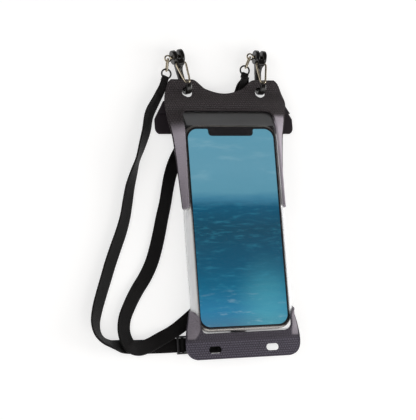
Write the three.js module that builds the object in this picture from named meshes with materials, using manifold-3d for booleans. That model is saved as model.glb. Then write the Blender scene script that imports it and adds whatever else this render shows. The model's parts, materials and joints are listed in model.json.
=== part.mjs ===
// Waterproof phone pouch lying on its back, window up, clips towards +Y.
// Millimetres, +Z up. The surface that it lies on is z = 0.

import * as THREE from 'three';
import { mergeVertices } from 'three/addons/utils/BufferGeometryUtils.js';
import Module from 'manifold-3d';

const wasm = await Module();
wasm.setup();

// Driving dimensions

const GAP = 0.3; // clearance between pieces that seat on each other

const PHONE = {
  width: 68.6, length: 141.6, thick: 7.6, cornerR: 9.8, bevelSide: 1.2, bevelDown: 2.2,
  lift: 5.2, glassInset: 1.7, glassT: 0.9,
};
const SCREEN = { border: 3.05, cornerR: 6.8, thick: 0.4, notchW: 33, notchD: 4.9 };
const KEY = { thick: 1.9, proud: 0.35, deep: 1.5, travel: 0.3, power: 11.5, volume: 9.5 };
const CAMERA = {
  width: 23, length: 24, proud: 1.0, cornerR: 6, lensR: 4.6, flashR: 1.8,
  side: 4.6, top: 12.8, lensX: 5.2, lensY: 5.6, flashX: -4.6,
};
const PORT = { width: 9, high: 3, deep: 5, holeR: 0.8, holePitch: 2.6, holes: 5 };

const FILM_T = 0.5; // clear film
const FILM_SLACK = 0.4; // between the phone's edge and the film wrapped round it
const TRIM_T = 1.2; // embossed sheet
const SEAM_Z = 5.1; // underside of the back film at its seam
const RIM = 1.0; // seam beside the window
const SHELF_Z = 3.9; // back film above the folded mouth

// Places given by their distance beyond the phone's edges, so the pouch follows its phone
const beside = (margin) => PHONE.width / 2 + margin;
const above = (margin) => PHONE.length / 2 + margin;
const below = (margin) => -PHONE.length / 2 - margin;

const PILLOW = {
  halfWidth: beside(-14.3), low: below(-40.8), high: above(-36.8), rampLow: below(-8.8),
  rampHigh: above(-8.8), power: 4,
};
const FILM_END = { top: above(12.2), bottom: below(6.2) };

// Half widths of the body from the bottom edge to the fold, as [y, x]
const BODY = [
  [below(21.2), beside(6.7)], [below(5.2), beside(6.7)], [below(-2.8), beside(5.6)],
  [below(-14.8), beside(2.7)], [below(-25.8), beside(2.4)], [above(-57.8), beside(2.4)],
  [above(-38.8), beside(3.5)], [above(-20.8), beside(4.7)], [above(-6.8), beside(6.0)],
  [above(5.2), beside(8.7)], [above(17.2), beside(10.3)], [above(39.2), beside(10.3)],
];
const WINDOW = { halfWidth: beside(-1.1), top: above(10.7), bottom: below(1.2), cornerR: 4.5 };
const LEG = { tip: above(-57.8), inner: beside(-0.4) };
const HORN = { tip: below(-15.1), inner: beside(-2.1), shoulder: below(-9.8), blunt: 1.2 };
const BOTTOM = { edge: below(18.2), corner: 8, cornerRun: 10, backingTop: below(9.5), backingT: 1.2 };
const SLOT = { x: beside(-13.6), y: below(11.9), length: 9.6, width: 4.6 };
const EAR_TOP = above(33.7);
const EAR = {
  top: EAR_TOP, outer: beside(6.2), inner: beside(-13.3), foldY: above(17.2), shoulderX: beside(-20.1),
  shoulderY: EAR_TOP - 6.5, notchY: EAR_TOP - 9.9, holeX: beside(-7.3), holeY: EAR_TOP - 9, holeR: 3.8,
  z: 4.4, bendLow: EAR_TOP - 18.5, bendHigh: EAR_TOP - 8.5,
};
const MOUTH = {
  halfWidth: beside(16.7), low: above(-4.3), chamferX: beside(14.2), chamferY: above(-1.8),
  shoulderY: above(6.7), foldY: above(18.8), bottom: 1.6, sheet: 1.0, inside: 1.2, upperLow: above(9.8),
};
const STRIP = { halfWidth: beside(-4.3), low: above(-2.2), high: above(7.6), thick: 0.5 };
const SEAL = { halfWidth: beside(7.7), low: above(10.8), high: above(15.0) };

const HOOK = {
  wide: 4.6, bar: 3.2, bendR: 5.2, bendY: 4.88, noseAngle: 97, noseBar: 2.6,
  headLow: 17.4, pivotY: 20.4, pivotZ: 8.2, forkY: 25.6, forkZ: 5, forkR: 5, forkWide: 8, forkGap: 2.2,
};
const WIRE = { r: 0.7, legX: 3.35, noseX: 1.75, endX: 1.1, tipY: 5.75, tipZ: 11.6, holeR: 1.0 };
const PIN = { r: 1.0, headR: 1.8, headT: 0.8, eyeR: 2.7, eyeHoleR: 1.6, eyeT: 1.2, eyeX: -7 };
const LINK = { halfLength: 4.4, halfWide: 2.05, wire: 1.1, turn: 20, tilt: 9 };
const RING = { r: 3.3, wire: 0.6 };
const LEAN = { left: 12, right: -4 };

const STRAP = { width: 9.5, thick: 1.3 };
const SLIDER = {
  x: -41.5, y: -78, along: 9, across: 12.2, high: 3.2, slotAcross: 9.8, slotAlong: 2.3, bar: 1.6,
};

// Routes of the webbing from the left ring and from the slider: [x, y, roll in degrees, lift].
// It lies on the surface on one edge where it is rolled, and lifted where it passes over itself.
const ROUTE_LEFT = [
  [-41.8, 104.6, 0, 2.6], [-44, 99, -14, 1.2], [-48.8, 90.6, -38, 0], [-54.8, 80, -38, 0],
  [-57.6, 69, -40, 0], [-61.4, 58.6, -50, 0], [-65.4, 48.4, -62, 0], [-68.4, 40, -50, 0],
  [-71.6, 30.4, -38, 0], [-74, 20, -32, 0], [-76.4, 9.6, -30, 0], [-80, -1, -26, 0],
  [-84.4, -11.4, -24, 0], [-88.6, -21.6, -24, 0], [-92.4, -31.8, -26, 0], [-96.2, -42, -28, 0],
  [-99.6, -52, -32, 0], [-101.4, -60.4, -40, 0], [-100.6, -67.2, -50, 0], [-97.4, -72, -58, 0],
  [-92.4, -74.8, -56, 0], [-88, -76, -40, 0], [-84, -76.8, -18, 0], [-80, -77.2, -6, 0],
  [-74, -77.6, 0, 0], [-64, -77.8, 0, 0], [-55, -78, 0, 0], [-46.6, -78, 0, 0],
];
const ROUTE_RIGHT = [
  [-36.4, -78, 0, 0], [-32, -78, 0, 0], [-22, -79.6, 0, 0], [-10, -78.6, 0, 0], [-1.4, -72, 0, 0],
  [1, -62, 0, 0], [-4, -53.6, 0, 0], [-14, -49.6, 0, 0], [-22, -51.2, 0, 0], [-30, -56.4, 2, 0],
  [-38.4, -62.6, 8, 0], [-45, -67, 20, 0], [-50.6, -70, 24, 0.2], [-57, -73, 16, 1.2],
  [-65, -76.8, 4, 2.2], [-73, -79, 0, 2.4], [-79.4, -76.4, 8, 2.8], [-82.2, -69, 14, 1.6],
  [-81.2, -59.6, 14, 0], [-76.8, -49.6, 12, 0], [-71, -40, 8, 0], [-64.6, -31, 6, 0],
  [-59.4, -21.4, 6, 0], [-55.9, -12, 6, 0], [-52.9, -2, 8, 0], [-50.1, 8.6, 10, 0],
  [-47.3, 18.4, 14, 0], [-45, 28, 14, 0], [-42, 38.4, 10, 0], [-37.2, 49, 4, 0],
  [-29.6, 60, 0, 0], [-18.4, 69, 0, 0], [-6.4, 76.4, 0, 0], [4.6, 84, 0, 0], [12.6, 93, 0, 0],
  [16.4, 101.6, 0, 0.9], [18.2, 107.4, 0, 2.6],
];

// The phone beside which the routes were laid, and how far out they follow the ears and rings
const LAID = { width: 68.6, length: 141.6, earX: 17, ringY: 108.6 };

const COLOURS = {
  trim: [0x34313a, 0.72, 0], film: [0xdfe3e8, 0.12, 0], mouth: [0x17151b, 0.6, 0],
  hook: [0x0b0b0c, 0.22, 0.6], bright: [0xc8c9cc, 0.22, 1], webbing: [0x101010, 0.9, 0],
  glass: [0x08090b, 0.1, 0], display: [0x3a86a0, 0.12, 0], frame: [0x2a2c30, 0.35, 0.8],
  strip: [0x1b1b1d, 0.95, 0],
};

// Values worked out from the driving dimensions

const PHONE_TOP = PHONE.lift + PHONE.thick;
const SHOULDER = {
  x: PHONE.width / 2 - 3, y: PHONE.length / 2 - 3, z: PHONE_TOP - 3, r: 3.5 + FILM_SLACK + FILM_T,
};
const FRONT_RIM_Z = SEAM_Z + FILM_T + GAP + FILM_T; // upper face of the front film at its seam
const DEG = Math.PI / 180;

// Small tools

const material = ([color, roughness, metalness]) =>
  new THREE.MeshStandardMaterial({ color, roughness, metalness });

function piece(name, geometry, look) {
  const mesh = new THREE.Mesh(geometry, material(COLOURS[look]));
  mesh.name = name;
  return mesh;
}

function toSolid(geometry) {
  const bare = geometry.clone();
  bare.deleteAttribute('normal');
  bare.deleteAttribute('uv');
  const merged = mergeVertices(bare, 1e-4);
  return new wasm.Manifold(new wasm.Mesh({
    numProp: 3,
    vertProperties: new Float32Array(merged.attributes.position.array),
    triVerts: new Uint32Array(merged.index.array),
  }));
}

function toGeometry(solid) {
  const mesh = solid.getMesh();
  const geometry = new THREE.BufferGeometry();
  geometry.setAttribute('position', new THREE.BufferAttribute(mesh.vertProperties, 3));
  geometry.setIndex(new THREE.BufferAttribute(mesh.triVerts, 1));
  geometry.computeVertexNormals();
  return geometry;
}

// A flat plate of the outline between two heights
function plate(shape, low, high, curveSegments = 6) {
  const settings = { depth: high - low, bevelEnabled: false, curveSegments };
  return new THREE.ExtrudeGeometry(shape, settings).translate(0, 0, low);
}

function roundedRect(width, length, radius, x = 0, y = 0) {
  const shape = new THREE.Shape();
  const w = width / 2;
  const l = length / 2;
  shape.moveTo(x - w + radius, y - l);
  shape.absarc(x + w - radius, y - l + radius, radius, -Math.PI / 2, 0, false);
  shape.absarc(x + w - radius, y + l - radius, radius, 0, Math.PI / 2, false);
  shape.absarc(x - w + radius, y + l - radius, radius, Math.PI / 2, Math.PI, false);
  shape.absarc(x - w + radius, y - l + radius, radius, Math.PI, 1.5 * Math.PI, false);
  return shape;
}

function rod(radius, x0, x1, y, z, sides = 14) {
  const geometry = new THREE.CylinderGeometry(radius, radius, x1 - x0, sides);
  return geometry.rotateZ(-Math.PI / 2).translate((x0 + x1) / 2, y, z);
}

function drum(radius, x, y, low, high, sides = 20) {
  const geometry = new THREE.CylinderGeometry(radius, radius, high - low, sides);
  return geometry.rotateX(Math.PI / 2).translate(x, y, (low + high) / 2);
}

function lookUp(table, y) {
  const next = table.findIndex(([at]) => at >= y);
  if (next <= 0) return table[next === 0 ? 0 : table.length - 1][1];
  const [y0, x0] = table[next - 1];
  const [y1, x1] = table[next];
  return x0 + ((x1 - x0) * (y - y0)) / (y1 - y0);
}

const halfWidth = (y) => lookUp(BODY, y);
const ease = (t) => THREE.MathUtils.smoothstep(t, 0, 1);

// A closed sheet between two grids of points that have the same rows and columns
function sheet(upper, lower) {
  const rows = upper.length;
  const columns = upper[0].length;
  const positions = [...upper.flat(), ...lower.flat()].flat();
  const index = [];
  const at = (side, i, j) => side * rows * columns + i * columns + j;
  const quad = (a, b, c, d) => index.push(a, b, c, a, c, d);
  for (let i = 0; i < rows - 1; i += 1) {
    for (let j = 0; j < columns - 1; j += 1) {
      quad(at(0, i, j), at(0, i, j + 1), at(0, i + 1, j + 1), at(0, i + 1, j));
      quad(at(1, i, j), at(1, i + 1, j), at(1, i + 1, j + 1), at(1, i, j + 1));
    }
  }
  for (let j = 0; j < columns - 1; j += 1) {
    quad(at(0, 0, j + 1), at(0, 0, j), at(1, 0, j), at(1, 0, j + 1));
    quad(at(0, rows - 1, j), at(0, rows - 1, j + 1), at(1, rows - 1, j + 1), at(1, rows - 1, j));
  }
  for (let i = 0; i < rows - 1; i += 1) {
    quad(at(0, i, 0), at(0, i + 1, 0), at(1, i + 1, 0), at(1, i, 0));
    quad(at(0, i + 1, columns - 1), at(0, i, columns - 1), at(1, i, columns - 1), at(1, i + 1, columns - 1));
  }
  const geometry = new THREE.BufferGeometry();
  geometry.setAttribute('position', new THREE.Float32BufferAttribute(positions, 3));
  geometry.setIndex(index);
  return geometry;
}

// Moves each point of an open [x, z] line along its normal
function offsetLine(line, distance) {
  return line.map(([x, z], i) => {
    const before = line[Math.max(i - 1, 0)];
    const after = line[Math.min(i + 1, line.length - 1)];
    const a = new THREE.Vector2(x - before[0], z - before[1]).normalize();
    const b = new THREE.Vector2(after[0] - x, after[1] - z).normalize();
    if (i === 0) a.copy(b);
    if (i === line.length - 1) b.copy(a);
    const normal = new THREE.Vector2(-a.y - b.y, a.x + b.x).normalize();
    const reach = distance / Math.max(0.5, normal.dot(new THREE.Vector2(-b.y, b.x)));
    return [x + normal.x * reach, z + normal.y * reach];
  });
}

// Where the line from an outside point touches the shoulder circle, as an angle
function tangentAngle(px, pz, cx, cz, radius) {
  const reach = Math.hypot(px - cx, pz - cz);
  return Math.atan2(pz - cz, px - cx) + Math.acos(Math.min(1, radius / reach));
}

// Height of the seam: level beside the window, lower where the ears droop
const droop = (y) => ease((y - EAR.bendLow) / (EAR.bendHigh - EAR.bendLow));
const rimZ = (y) => FRONT_RIM_Z - (FRONT_RIM_Z + GAP - EAR.z) * droop(y);

// Share of the full height that the front film has at y, round the phone's ends
function fullness(y) {
  const end = y > 0 ? FILM_END.top : -FILM_END.bottom;
  const d = Math.abs(y);
  if (d >= end) return 0;
  if (d <= SHOULDER.y) return 1;
  const angle = tangentAngle(end, FRONT_RIM_Z, SHOULDER.y, SHOULDER.z, SHOULDER.r);
  const touch = SHOULDER.y + SHOULDER.r * Math.cos(angle);
  const full = SHOULDER.z + SHOULDER.r - FRONT_RIM_Z;
  if (d < touch) {
    const rise = Math.sqrt(SHOULDER.r ** 2 - (d - SHOULDER.y) ** 2);
    return (SHOULDER.z + rise - FRONT_RIM_Z) / full;
  }
  const high = SHOULDER.z + SHOULDER.r * Math.sin(angle) - FRONT_RIM_Z;
  return (high * (end - d)) / ((end - touch) * full);
}

// Section of the front skin at y, from left to right: seam, slope, shoulder, crown
function frontSection(y, distance, beyond = 0) {
  const outer = halfWidth(y);
  const inner = Math.max(outer - RIM, SHOULDER.x + SHOULDER.r);
  const start = tangentAngle(inner, FRONT_RIM_Z, SHOULDER.x, SHOULDER.z, SHOULDER.r);
  const right = [[0, SHOULDER.z + SHOULDER.r], [SHOULDER.x * 0.6, SHOULDER.z + SHOULDER.r]];
  for (let i = 0; i <= 3; i += 1) {
    const angle = Math.PI / 2 + ((start - Math.PI / 2) * i) / 3;
    right.push([SHOULDER.x + SHOULDER.r * Math.cos(angle), SHOULDER.z + SHOULDER.r * Math.sin(angle)]);
  }
  right.push([inner, FRONT_RIM_Z], [Math.max(outer, inner + RIM) + beyond, FRONT_RIM_Z]);
  const share = fullness(y);
  const base = rimZ(y);
  const scaled = right.map(([x, z]) => [x, base + (z - FRONT_RIM_Z) * share]);
  const mirrored = scaled.slice(1).reverse().map(([x, z]) => [-x, z]);
  return offsetLine([...mirrored, ...scaled], distance);
}

// Section of the back skin at y, from left to right: seam, rise, level middle
function backSection(y, distance) {
  const outer = halfWidth(y);
  const inner = Math.max(outer - RIM, SHOULDER.x + SHOULDER.r);
  const edge = Math.max(outer, inner + RIM);
  const up = ease((y - PILLOW.high) / (PILLOW.rampHigh - PILLOW.high));
  const down = ease((PILLOW.low - y) / (PILLOW.low - PILLOW.rampLow));
  let middle = SHELF_Z * Math.max(up, down);
  const end = Math.max(ease((y - SHOULDER.y - 4) / 8), ease((-SHOULDER.y - 1 - y) / 6));
  middle += (SEAM_Z - middle) * end;
  const right = [[0, middle]];
  for (const t of [0, 0.35, 0.6, 0.8, 1]) {
    const x = PILLOW.halfWidth + (inner - PILLOW.halfWidth) * t;
    right.push([x, middle + (SEAM_Z - middle) * t ** PILLOW.power]);
  }
  right.push([edge, SEAM_Z]);
  const mirrored = right.slice(1).reverse().map(([x, z]) => [-x, z]);
  return offsetLine([...mirrored, ...right], distance);
}

const grid = (stations, section) => stations.map((y) => section(y).map(([x, z]) => [x, y, z]));

function stations(low, high, step, extra = []) {
  const count = Math.ceil((high - low) / step);
  const even = Array.from({ length: count + 1 }, (_, i) => low + ((high - low) * i) / count);
  const kept = even.filter((y) => extra.every((e) => Math.abs(e - y) > step * 0.35));
  return [...kept, ...extra.filter((e) => e >= low && e <= high)].sort((a, b) => a - b);
}

// Film shells. Whatever lies over the front skin shares its rows, so the layers stay parallel.

const ROUND_ROWS = [0, 1.8, 3.2].map((run) => SHOULDER.y + run);
const SKIN_ROWS = stations(BOTTOM.edge - 2, EAR.top + 2, 15, [
  FILM_END.bottom - 2, FILM_END.bottom, ...ROUND_ROWS.map((y) => -y), HORN.tip, LEG.tip,
  ...ROUND_ROWS, FILM_END.top, FILM_END.top + 2, EAR.foldY + 3, EAR.bendHigh,
]);

const ROUNDING = 0.001;
const rowsBetween = (low, high) => SKIN_ROWS.filter((y) => y > low - ROUNDING && y < high + ROUNDING);

function frontFilm() {
  const rows = rowsBetween(FILM_END.bottom - 2, FILM_END.top + 2);
  return sheet(grid(rows, (y) => frontSection(y, 0)), grid(rows, (y) => frontSection(y, -FILM_T)));
}

function backFilm() {
  const rows = stations(FILM_END.bottom - 2, FILM_END.top + 2, 7.5, [PILLOW.low, PILLOW.high]);
  return sheet(grid(rows, (y) => backSection(y, FILM_T)), grid(rows, (y) => backSection(y, 0)));
}

// Trims: a sheet over the front skin, cut to the outline

function sideEdge(from, to, step = 8) {
  return stations(from, to, step, BODY.map(([y]) => y)).map((y) => [halfWidth(y) + GAP, y]);
}

function topOutline() {
  const shape = new THREE.Shape();
  const tipWidth = halfWidth(LEG.tip) + GAP - LEG.inner;
  const side = sideEdge(LEG.tip + tipWidth / 2, EAR.foldY);
  const half = (sign) => {
    const path = side.map(([x, y]) => [sign * x, y]);
    path.push([sign * (EAR.outer + 0.5), EAR.top - 2.4], [sign * (EAR.outer - 1.4), EAR.top]);
    path.push([sign * (EAR.inner + 0.8), EAR.top], [sign * (EAR.inner - 0.8), EAR.top - 0.8]);
    path.push([sign * EAR.shoulderX, EAR.shoulderY]);
    return path;
  };
  const [first, ...rest] = half(1);
  shape.moveTo(...first);
  rest.forEach(([x, y]) => shape.lineTo(x, y));
  const left = half(-1).reverse();
  shape.bezierCurveTo(EAR.shoulderX - 5, EAR.notchY + 1.6, 5, EAR.notchY, 0, EAR.notchY);
  shape.bezierCurveTo(-5, EAR.notchY, 5 - EAR.shoulderX, EAR.notchY + 1.6, ...left[0]);
  left.slice(1).forEach(([x, y]) => shape.lineTo(x, y));
  const tipX = halfWidth(LEG.tip) + GAP - tipWidth / 2;
  const r = WINDOW.cornerR;
  shape.absarc(-tipX, LEG.tip + tipWidth / 2, tipWidth / 2, Math.PI, 2 * Math.PI, false);
  shape.lineTo(-WINDOW.halfWidth, WINDOW.top - r);
  shape.absarc(-WINDOW.halfWidth + r, WINDOW.top - r, r, Math.PI, Math.PI / 2, true);
  shape.absarc(WINDOW.halfWidth - r, WINDOW.top - r, r, Math.PI / 2, 0, true);
  shape.lineTo(LEG.inner, LEG.tip + tipWidth / 2);
  shape.absarc(tipX, LEG.tip + tipWidth / 2, tipWidth / 2, Math.PI, 2 * Math.PI, false);
  return shape;
}

function bottomOutline() {
  const shape = new THREE.Shape();
  const cornerY = BOTTOM.edge + BOTTOM.cornerRun;
  const side = sideEdge(cornerY, HORN.tip - 0.6).reverse();
  const r = WINDOW.cornerR;
  const tipX = halfWidth(HORN.tip) + GAP;
  const [first, ...rest] = side.map(([x, y]) => [-x, y]);
  shape.moveTo(...first);
  rest.forEach(([x, y]) => shape.lineTo(x, y));
  const edgeX = halfWidth(cornerY) + GAP;
  shape.quadraticCurveTo(-edgeX, BOTTOM.edge + 6, -edgeX + 2.4, BOTTOM.edge + 3.6);
  shape.quadraticCurveTo(-edgeX + 5, BOTTOM.edge, -edgeX + BOTTOM.corner, BOTTOM.edge);
  shape.lineTo(edgeX - BOTTOM.corner, BOTTOM.edge);
  shape.quadraticCurveTo(edgeX - 5, BOTTOM.edge, edgeX - 2.4, BOTTOM.edge + 3.6);
  shape.quadraticCurveTo(edgeX, BOTTOM.edge + 6, edgeX, cornerY);
  side.slice().reverse().forEach(([x, y]) => shape.lineTo(x, y));
  shape.lineTo(tipX - HORN.blunt, HORN.tip);
  shape.lineTo(HORN.inner, HORN.shoulder);
  shape.lineTo(HORN.inner, WINDOW.bottom + r);
  shape.absarc(HORN.inner - r, WINDOW.bottom + r, r, 0, -Math.PI / 2, true);
  shape.absarc(r - HORN.inner, WINDOW.bottom + r, r, -Math.PI / 2, -Math.PI, true);
  shape.lineTo(-HORN.inner, HORN.shoulder);
  shape.lineTo(HORN.blunt - tipX, HORN.tip);
  return shape;
}

function skinSlab(rows) {
  const beyond = 6;
  const upper = grid(rows, (y) => frontSection(y, GAP + TRIM_T, beyond));
  const lower = grid(rows, (y) => frontSection(y, GAP, beyond));
  return toSolid(sheet(upper, lower));
}

function topTrim() {
  let solid = skinSlab(rowsBetween(HORN.tip, EAR.top + 2)).intersect(toSolid(plate(topOutline(), -1, 30)));
  for (const x of [-EAR.holeX, EAR.holeX]) {
    solid = solid.subtract(toSolid(drum(EAR.holeR, x, EAR.holeY, -1, 30)));
  }
  return toGeometry(solid);
}

function bottomTrim() {
  const cut = toSolid(plate(bottomOutline(), -1, 30));
  const backingTop = FRONT_RIM_Z + GAP + 0.4;
  const run = BOTTOM.backingTop - BOTTOM.edge + 2;
  const strip = roundedRect(3 * BODY[0][1], run, 0.5, 0, BOTTOM.backingTop - run / 2);
  const backing = toSolid(plate(strip, FRONT_RIM_Z + GAP - BOTTOM.backingT, backingTop, 1));
  let solid = skinSlab(rowsBetween(BOTTOM.edge - 2, LEG.tip)).add(backing).intersect(cut);
  for (const x of [-SLOT.x, SLOT.x]) {
    const slot = roundedRect(SLOT.length, SLOT.width, SLOT.width / 2 - 0.01, x, SLOT.y);
    solid = solid.subtract(toSolid(plate(slot, -1, 30, 4)));
  }
  return toGeometry(solid);
}

// Mouth: the film tube's end, folded back under the body and held by hook and loop

function mouthFlap() {
  const low = MOUTH.bottom;
  const t = MOUTH.sheet;
  const outerR = (2 * t + MOUTH.inside) / 2;
  const centreZ = low + outerR;
  const centreY = MOUTH.foldY - outerR;
  const profile = new THREE.Shape();
  profile.moveTo(MOUTH.low, low);
  profile.absarc(centreY, centreZ, outerR, -Math.PI / 2, Math.PI / 2, false);
  profile.lineTo(MOUTH.upperLow, low + 2 * outerR);
  profile.lineTo(MOUTH.upperLow, low + 2 * outerR - t);
  profile.absarc(centreY, centreZ, outerR - t, Math.PI / 2, -Math.PI / 2, true);
  profile.lineTo(MOUTH.low, low + t);
  const width = 2 * MOUTH.halfWidth;
  const bent = new THREE.ExtrudeGeometry(profile, { depth: width, bevelEnabled: false, curveSegments: 5 });
  bent.applyMatrix4(new THREE.Matrix4().set(0, 0, 1, -MOUTH.halfWidth, 1, 0, 0, 0, 0, 1, 0, 0, 0, 0, 0, 1));
  const outline = new THREE.Shape();
  const foldX = halfWidth(EAR.foldY);
  const right = [
    [MOUTH.chamferX, MOUTH.low - 1], [MOUTH.chamferX, MOUTH.low], [MOUTH.halfWidth, MOUTH.chamferY],
    [MOUTH.halfWidth, MOUTH.shoulderY], [foldX + 1, EAR.foldY - 1.4], [foldX - 1, MOUTH.foldY + 1],
  ];
  const loop = [...right, ...right.map(([x, y]) => [-x, y]).reverse()];
  outline.setFromPoints(loop.map(([x, y]) => new THREE.Vector2(x, y)));
  return toGeometry(toSolid(bent).intersect(toSolid(plate(outline, -1, 12))));
}

function strip(name, halfWide, low, high, z0, z1, look) {
  return piece(name, plate(roundedRect(2 * halfWide, high - low, 1, 0, (low + high) / 2), z0, z1, 2), look);
}

function mouthFittings() {
  const floor = MOUTH.bottom + MOUTH.sheet;
  const middle = floor + STRIP.thick;
  const sealMiddle = floor + MOUTH.inside / 2;
  const { halfWidth: w, low, high } = STRIP;
  return [
    strip('loop_strip', w, low, high, floor, middle, 'strip'),
    strip('hook_strip', w, low, high, middle, middle + STRIP.thick, 'strip'),
    strip('press_seal_outer', SEAL.halfWidth, SEAL.low, SEAL.high, floor, sealMiddle, 'mouth'),
    strip('press_seal_inner', SEAL.halfWidth, SEAL.low, SEAL.high, sealMiddle, floor + MOUTH.inside, 'mouth'),
  ];
}

// Phone

function screenShape(grow) {
  const shape = new THREE.Shape();
  const w = PHONE.width / 2 - SCREEN.border + grow;
  const l = PHONE.length / 2 - SCREEN.border + grow;
  const r = SCREEN.cornerR + grow;
  const notch = SCREEN.notchW / 2 - grow;
  const deep = l - SCREEN.notchD - grow;
  shape.moveTo(-w + r, -l);
  shape.absarc(w - r, -l + r, r, -Math.PI / 2, 0, false);
  shape.absarc(w - r, l - r, r, 0, Math.PI / 2, false);
  shape.lineTo(notch + 1.2, l);
  shape.quadraticCurveTo(notch, l, notch, l - 1.2);
  shape.lineTo(notch, deep + 3);
  shape.quadraticCurveTo(notch, deep, notch - 3, deep);
  shape.lineTo(3 - notch, deep);
  shape.quadraticCurveTo(-notch, deep, -notch, deep + 3);
  shape.lineTo(-notch, l - 1.2);
  shape.quadraticCurveTo(-notch, l, -notch - 1.2, l);
  shape.absarc(-w + r, l - r, r, Math.PI / 2, Math.PI, false);
  shape.absarc(-w + r, -l + r, r, Math.PI, 1.5 * Math.PI, false);
  return shape;
}

const KEYS = [
  { name: 'power_key', side: 1, y: above(-43.8), length: KEY.power },
  { name: 'volume_up_key', side: -1, y: above(-36.8), length: KEY.volume },
  { name: 'volume_down_key', side: -1, y: above(-48.8), length: KEY.volume },
];
const KEY_Z = PHONE.lift + PHONE.thick / 2;

function keyBlock({ side, y, length }, grow, inward, outward) {
  const outer = PHONE.width / 2;
  const shape = roundedRect(length + 2 * grow, KEY.thick + 2 * grow, KEY.thick / 2 + grow - 0.01);
  const geometry = plate(shape, outer - inward, outer + outward, 3);
  geometry.applyMatrix4(new THREE.Matrix4().set(0, 0, 1, 0, 1, 0, 0, y, 0, 1, 0, KEY_Z, 0, 0, 0, 1));
  return side > 0 ? geometry : geometry.rotateZ(Math.PI).translate(0, 2 * y, 0);
}

const ISLAND = {
  x: PHONE.width / 2 - CAMERA.side - CAMERA.width / 2, y: PHONE.length / 2 - CAMERA.top - CAMERA.length / 2,
};

function cameraShape(grow) {
  const { width, length, cornerR } = CAMERA;
  return roundedRect(width + 2 * grow, length + 2 * grow, cornerR + grow, ISLAND.x, ISLAND.y);
}

const LENSES = [
  { name: 'camera_lens_upper', x: ISLAND.x + CAMERA.lensX, y: ISLAND.y + CAMERA.lensY, r: CAMERA.lensR },
  { name: 'camera_lens_lower', x: ISLAND.x + CAMERA.lensX, y: ISLAND.y - CAMERA.lensY, r: CAMERA.lensR },
  { name: 'flash_lens', x: ISLAND.x + CAMERA.flashX, y: ISLAND.y, r: CAMERA.flashR },
];

function phoneFrame() {
  const { width, length, thick, cornerR, bevelSide, bevelDown, lift, glassInset, glassT } = PHONE;
  const inner = roundedRect(width - 2 * bevelSide, length - 2 * bevelSide, cornerR - bevelSide);
  const body = new THREE.ExtrudeGeometry(inner, {
    depth: thick - 2 * bevelDown, bevelSize: bevelSide, bevelThickness: bevelDown, bevelSegments: 2,
    curveSegments: 5,
  }).translate(0, 0, lift + bevelDown);
  const pocket = roundedRect(width - 2 * glassInset + 2 * GAP, length - 2 * glassInset + 2 * GAP,
    cornerR - glassInset + GAP);
  let solid = toSolid(body);
  solid = solid.subtract(toSolid(plate(pocket, PHONE_TOP - glassT - GAP, PHONE_TOP + 1)));
  solid = solid.subtract(toSolid(plate(pocket, lift - 1, lift + glassT + GAP)));
  for (const key of KEYS) {
    solid = solid.subtract(toSolid(keyBlock(key, GAP, KEY.deep + KEY.travel + GAP, 1)));
  }
  const port = roundedRect(PORT.width, PORT.high, PORT.high / 2 - 0.01);
  const socket = plate(port, 0, PORT.deep + 1, 3).rotateX(Math.PI / 2);
  solid = solid.subtract(toSolid(socket.translate(0, PORT.deep - length / 2, KEY_Z)));
  for (const sign of [-1, 1]) {
    for (let i = 0; i < PORT.holes; i += 1) {
      const hole = new THREE.CylinderGeometry(PORT.holeR, PORT.holeR, 4, 8);
      hole.translate(sign * (PORT.width / 2 + 4 + i * PORT.holePitch), 1 - length / 2, KEY_Z);
      solid = solid.subtract(toSolid(hole));
    }
  }
  return toGeometry(solid);
}

function glassPlate(low, high, cutout) {
  const { width, length, cornerR, glassInset } = PHONE;
  const shape = roundedRect(width - 2 * glassInset, length - 2 * glassInset, cornerR - glassInset);
  return toGeometry(toSolid(plate(shape, low, high)).subtract(cutout));
}

function phone() {
  const { lift, glassT } = PHONE;
  const screenPocket = toSolid(plate(screenShape(GAP), PHONE_TOP - SCREEN.thick - GAP, PHONE_TOP + 1));
  const cameraCut = toSolid(plate(cameraShape(GAP), lift - 1, lift + glassT + 1, 4));
  let island = toSolid(plate(cameraShape(0), lift - CAMERA.proud, lift + glassT, 4));
  for (const { x, y, r } of LENSES) {
    island = island.subtract(toSolid(drum(r + GAP, x, y, lift - CAMERA.proud - 1, lift - CAMERA.proud + 0.9)));
  }
  return [
    piece('phone_frame', phoneFrame(), 'frame'),
    piece('phone_front_glass', glassPlate(PHONE_TOP - glassT, PHONE_TOP, screenPocket), 'glass'),
    piece('phone_display', plate(screenShape(0), PHONE_TOP - SCREEN.thick, PHONE_TOP), 'display'),
    piece('phone_back_glass', glassPlate(lift, lift + glassT, cameraCut), 'glass'),
    piece('camera_island', toGeometry(island), 'frame'),
    ...LENSES.map(({ name, x, y, r }) => {
      const low = lift - CAMERA.proud;
      return piece(name, drum(r, x, y, low, low + 0.6), 'glass');
    }),
    ...KEYS.map((key) => piece(key.name, keyBlock(key, 0, KEY.deep, KEY.proud), 'frame')),
  ];
}

// Clips, each in its own frame: origin under the ear's hole, +Y towards the fork

function sideways(shape, wide) {
  const geometry = new THREE.ExtrudeGeometry(shape, { depth: wide, bevelEnabled: false, curveSegments: 10 });
  return geometry.applyMatrix4(new THREE.Matrix4().set(0, 0, 1, -wide / 2, 1, 0, 0, 0, 0, 1, 0, 0, 0, 0, 0, 1));
}

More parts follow.
